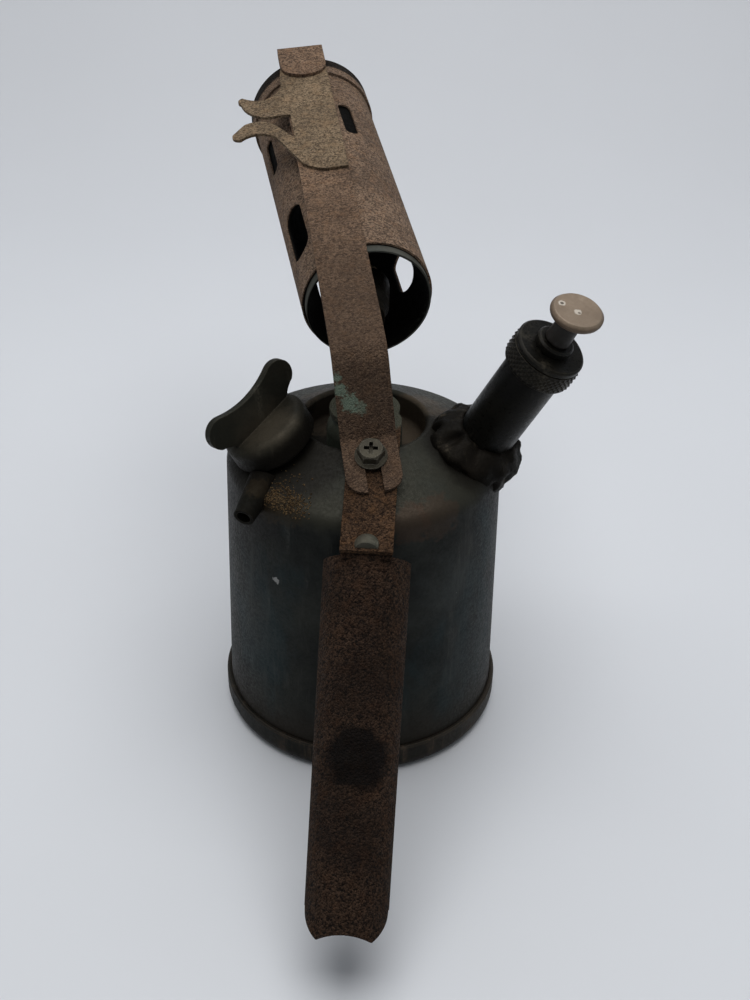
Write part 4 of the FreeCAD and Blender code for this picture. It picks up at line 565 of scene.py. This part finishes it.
def finishPiece(bm, name, body, finish, smooth=True):
    bmesh.ops.remove_doubles(bm, verts=bm.verts, dist=mergeGap)
    bmesh.ops.recalc_face_normals(bm, faces=bm.faces)
    for face in bm.faces:
        face.smooth = smooth
    mesh = bpy.data.meshes.new(name)
    bm.to_mesh(mesh)
    bm.free()
    mesh.materials.append(materials[finish])
    piece = bpy.data.objects.new(name, mesh)
    bpy.context.scene.collection.objects.link(piece)
    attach(piece, body)
    return piece


def spinRing(bm, profile, steps):
    verts = [bm.verts.new((reach, 0, level)) for reach, level in profile]
    edges = [bm.edges.new(pair) for pair in zip(verts, verts[1:] + verts[:1])]
    bmesh.ops.spin(
        bm, geom=verts + edges, cent=(0, 0, 0), axis=(0, 0, 1), angle=2 * math.pi, steps=steps,
        use_merge=True)


# Diamond knurl: every second point of a fine ring stands out by a tooth.

knurlSizes = {
    "low": 0.0437, "high": 0.0504, "radius": 0.01172, "inner": 0.0112, "tooth": 0.00050, "count": 76,
    "rows": 7,
}


def buildKnurl(sizes):
    bm = bmesh.new()
    rows = sizes["rows"]
    step = (sizes["high"] - sizes["low"]) / rows
    profile = [(sizes["inner"], sizes["high"])]
    profile += [(sizes["radius"], sizes["high"] - step * row) for row in range(rows + 1)]
    profile += [(sizes["inner"], sizes["low"])]
    spinRing(bm, profile, sizes["count"])
    for vert in bm.verts:
        row = round((sizes["high"] - vert.co.z) / step)
        column = round(math.atan2(vert.co.y, vert.co.x) / (2 * math.pi) * sizes["count"])
        onFace = vert.co.xy.length > (sizes["inner"] + sizes["radius"]) / 2
        if onFace and 0 < row < rows and (row + column) % 2:
            vert.co.xy *= 1 + sizes["tooth"] / sizes["radius"]
    bmesh.ops.triangulate(bm, faces=bm.faces, quad_method="SHORT_EDGE")
    bmesh.ops.transform(bm, matrix=seatMatrix(pumpLine), verts=bm.verts)
    return finishPiece(bm, "pumpKnurl", "lamp", "barrel", smooth=False)


buildKnurl(knurlSizes)


# Solder round the pump: a domed ring with lumps and hollows, swollen down the slope of the tank.

solderSizes = {
    "profile": [(0.0090, -0.0060), (0.0146, -0.0060), (0.0158, -0.0044), (0.0162, -0.0028),
                (0.0163, -0.0012), (0.0162, 0.0004), (0.0160, 0.0018), (0.0157, 0.0032), (0.0152, 0.0045),
                (0.0146, 0.0057), (0.0138, 0.0068), (0.0129, 0.0078), (0.0120, 0.0087), (0.0109, 0.0096),
                (0.0099, 0.0101), (0.0090, 0.0101)],
    "steps": 110, "bore": 0.0096, "soften": 0.35,
    "lump": 0.0010, "lumpScale": 240.0, "lumpShift": (3.1, 0.4, 7.7), "grain": 0.00035, "grainScale": 800.0,
    "hollow": 0.0065, "hollowScale": 200.0, "hollowShift": (9.0, 2.0, 4.0), "hollowFrom": 0.22,
    "swell": 0.0030, "swellTo": (-0.62, -0.78, -0.1), "swellPower": 1.5, "swellRise": 2,
}


def buildSolder(sizes):
    bm = bmesh.new()
    spinRing(bm, sizes["profile"], sizes["steps"])
    seat = seatMatrix(pumpLine)
    swellTo = (seat.to_3x3().inverted() @ Vector(sizes["swellTo"])).xy.normalized()
    lumpShift = Vector(sizes["lumpShift"])
    hollowShift = Vector(sizes["hollowShift"])
    for vert in bm.verts:
        reach = vert.co.xy.length
        if reach < sizes["bore"]:
            continue
        lump = noise.noise(vert.co * sizes["lumpScale"] + lumpShift) * sizes["lump"]
        grain = noise.noise(vert.co * sizes["grainScale"]) * sizes["grain"]
        hollow = noise.noise(vert.co * sizes["hollowScale"] + hollowShift) - sizes["hollowFrom"]
        facing = max(0.0, vert.co.xy.normalized().dot(swellTo))
        outer = min(1.0, (reach - sizes["bore"]) / sizes["bore"] * sizes["swellRise"])
        shift = lump + grain - max(0.0, hollow) * sizes["hollow"]
        shift += sizes["swell"] * facing ** sizes["swellPower"] * outer
        vert.co.xy *= 1 + shift / reach
        vert.co.z += grain + lump
    bmesh.ops.smooth_vert(
        bm, verts=bm.verts, factor=sizes["soften"], use_axis_x=True, use_axis_y=True, use_axis_z=True)
    bmesh.ops.transform(bm, matrix=seat, verts=bm.verts)
    return finishPiece(bm, "pumpSolder", "lamp", "solder")


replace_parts(buildSolder(solderSizes), "pump_boss")


# Loose dirt below the filler. A heap is its x, y, spread and count of grains.

gritSizes = {
    "rimRadius": 0.0222, "rimHeight": 0.1176, "fall": math.tan(math.radians(25.5)), "domeEdge": 0.04431,
    "shoulder": 0.0056, "shoulderReach": 0.0419, "shoulderHeight": 0.1020, "edge": 0.0472, "clear": 0.001,
    "heaps": [(-0.0250, -0.0385, 0.0062, 420), (-0.0195, -0.0405, 0.0050, 220),
              (-0.0290, -0.0345, 0.0045, 160), (-0.0225, -0.0320, 0.0070, 60)],
    "acrossSpread": 0.5, "downSpread": 0.4, "small": 0.00018, "large": 0.00048,
    "breadth": (0.5, 0.9), "height": (0.6, 1.0), "turn": 6.28, "turnAxis": (0.3, 0.5, 0.8), "seed": 11,
}


def domeLevel(sizes, reach):
    if reach < sizes["domeEdge"]:
        return sizes["rimHeight"] - (reach - sizes["rimRadius"]) * sizes["fall"]
    return sizes["shoulderHeight"] + math.sqrt(sizes["shoulder"] ** 2 - (reach - sizes["shoulderReach"]) ** 2)


def buildGrit(sizes):
    draw = random.Random(sizes["seed"])
    bm = bmesh.new()
    for heapX, heapY, spread, count in sizes["heaps"]:
        for _ in range(count):
            x = draw.gauss(heapX, spread * sizes["acrossSpread"])
            y = draw.gauss(heapY, spread * sizes["downSpread"])
            reach = math.hypot(x, y)
            if not sizes["rimRadius"] + sizes["clear"] < reach < sizes["edge"]:
                continue
            size = draw.uniform(sizes["small"], sizes["large"])
            grain = Matrix.Translation((x, y, domeLevel(sizes, reach)))
            grain = grain @ Matrix.Rotation(draw.uniform(0, sizes["turn"]), 4, sizes["turnAxis"])
            breadth = size * draw.uniform(*sizes["breadth"])
            height = size * draw.uniform(*sizes["height"])
            stretch = Matrix.Diagonal((size, breadth, height, 1))
            bmesh.ops.create_icosphere(bm, subdivisions=1, radius=1.0, matrix=grain @ stretch)
    return finishPiece(bm, "fillerGrit", "lamp", "grit", smooth=False)


buildGrit(gritSizes)
print("detail pieces built")


# Stage: a seamless pale sweep whose paper is painted darker towards the back, as painted shade.

sweepSizes = {"half": 1.6, "back": 0.95, "round": 0.55, "front": 1.4, "rise": 1.6, "steps": 24}
paperLook = {
    "near": (0.625, 0.650, 0.690, 1), "backShadeTone": (0.500, 0.515, 0.545, 1), "roughness": 0.6,
    "backShadeRange": (0.15, 1.1, 0.0, 0.9), "cloud": (6.0, 2.0), "cloudRange": (0.2, 0.8, 0.0, 0.1),
}


def paperMaterial(look):
    material, tree, shader, coords = newMaterial("sweepPaperAndShade")
    split = addNode(tree, "ShaderNodeSeparateXYZ")
    feed(tree, split.inputs[0], coords)
    # Painted shade: the paper darkens towards the back.
    backShade = rangeIn(tree, split.outputs["Y"], *look["backShadeRange"])
    cloud = rangeIn(tree, noiseIn(tree, coords, *look["cloud"]), *look["cloudRange"])
    tone = mixIn(tree, mathIn(tree, "ADD", backShade, cloud), look["near"], look["backShadeTone"])
    feed(tree, shader.inputs["Base Color"], tone)
    feed(tree, shader.inputs["Roughness"], look["roughness"])
    return material


def buildSweep(sizes):
    bm = bmesh.new()
    corners = [(-sizes["front"], 0.0), (sizes["back"], 0.0), (sizes["back"], sizes["rise"])]
    verts = [bm.verts.new((-sizes["half"], y, z)) for y, z in corners]
    edges = [bm.edges.new(pair) for pair in zip(verts, verts[1:])]
    drawn = bmesh.ops.extrude_edge_only(bm, edges=edges)["geom"]
    moved = [item for item in drawn if isinstance(item, bmesh.types.BMVert)]
    bmesh.ops.translate(bm, vec=(2 * sizes["half"], 0, 0), verts=moved)
    fold = [edge for edge in bm.edges if len(edge.link_faces) == 2]
    bmesh.ops.bevel(
        bm, geom=fold, affect="EDGES", offset=sizes["round"], offset_type="OFFSET", segments=sizes["steps"],
        profile=0.5, material=-1)
    bmesh.ops.recalc_face_normals(bm, faces=bm.faces)
    for face in bm.faces:
        face.smooth = True
    mesh = bpy.data.meshes.new("sweep")
    bm.to_mesh(mesh)
    bm.free()
    mesh.materials.append(paperMaterial(paperLook))
    sweep = bpy.data.objects.new("sweep", mesh)
    bpy.context.scene.collection.objects.link(sweep)
    return sweep


buildSweep(sweepSizes)


# Light: a broad soft lamp overhead and weak fills. The world shows brighter than it lights.

lamps = {
    "overhead": {"at": (0.0, 0.0, 1.15), "aim": (0.0, -0.02, 0.0), "size": (1.2, 1.0), "power": 12.5,
                 "tint": (1.0, 0.99, 0.975)},
    "rearFill": {"at": (0.0, 0.75, 0.95), "aim": (0.0, 0.0, 0.1), "size": (1.4, 0.5), "power": 2.2,
                 "tint": (0.97, 0.98, 1.0)},
    "leftFill": {"at": (-1.0, -0.1, 0.5), "aim": (0.0, 0.0, 0.1), "size": (0.7, 0.7), "power": 0.9,
                 "tint": (0.96, 0.98, 1.0)},
    "rightFill": {"at": (1.0, -0.1, 0.5), "aim": (0.0, 0.0, 0.1), "size": (0.7, 0.7), "power": 0.9,
                  "tint": (0.98, 0.98, 1.0)},
}
worldLook = {"tint": (0.93, 0.95, 0.98, 1), "lights": 0.13, "shows": 0.6}


def addLamp(name, sizes):
    lamp = bpy.data.lights.new(name, "AREA")
    lamp.shape = "RECTANGLE"
    lamp.size, lamp.size_y = sizes["size"]
    lamp.energy = sizes["power"]
    lamp.color = sizes["tint"]
    holder = bpy.data.objects.new(name, lamp)
    bpy.context.scene.collection.objects.link(holder)
    holder.location = sizes["at"]
    holder.rotation_mode = "QUATERNION"
    holder.rotation_quaternion = (Vector(sizes["aim"]) - Vector(sizes["at"])).to_track_quat("-Z", "Y")


def addWorld(look):
    world = bpy.data.worlds.new("studio")
    bpy.context.scene.world = world
    world.use_nodes = True
    tree = world.node_tree
    backdrop = tree.nodes["Background"]
    rays = addNode(tree, "ShaderNodeLightPath").outputs
    seen = mathIn(tree, "MAXIMUM", rays["Is Camera Ray"], rays["Is Glossy Ray"])
    seen = mathIn(tree, "MAXIMUM", seen, rays["Is Transmission Ray"])
    feed(tree, backdrop.inputs["Color"], look["tint"])
    feed(tree, backdrop.inputs["Strength"], rangeIn(tree, seen, 0.0, 1.0, look["lights"], look["shows"]))


for lampName, lampSizes in lamps.items():
    addLamp(lampName, lampSizes)
addWorld(worldLook)


# Camera of the photograph, fitted to the tank, grip, pump and hood.

cameraSizes = {
    "sensor": 36.0, "lens": 52.2, "near": 0.01, "at": (0.02468, -0.42718, 0.36886),
    "right": (0.9981, 0.0598, 0.0177), "ahead": (-0.0399, 0.8313, -0.5544),
}


def addCamera(sizes):
    data = bpy.data.cameras.new("photoCamera")
    data.sensor_width = sizes["sensor"]
    data.lens = sizes["lens"]
    data.clip_start = sizes["near"]
    camera = bpy.data.objects.new("photoCamera", data)
    bpy.context.scene.collection.objects.link(camera)
    ahead = Vector(sizes["ahead"]).normalized()
    up = Vector(sizes["right"]).cross(ahead).normalized()
    right = ahead.cross(up).normalized()
    turn = Matrix((right, up, -ahead)).transposed()
    camera.matrix_world = Matrix.Translation(sizes["at"]) @ turn.to_4x4()
    bpy.context.scene.camera = camera


addCamera(cameraSizes)
bpy.context.scene.view_settings.view_transform = "Standard"
print("stage, light and camera ready")
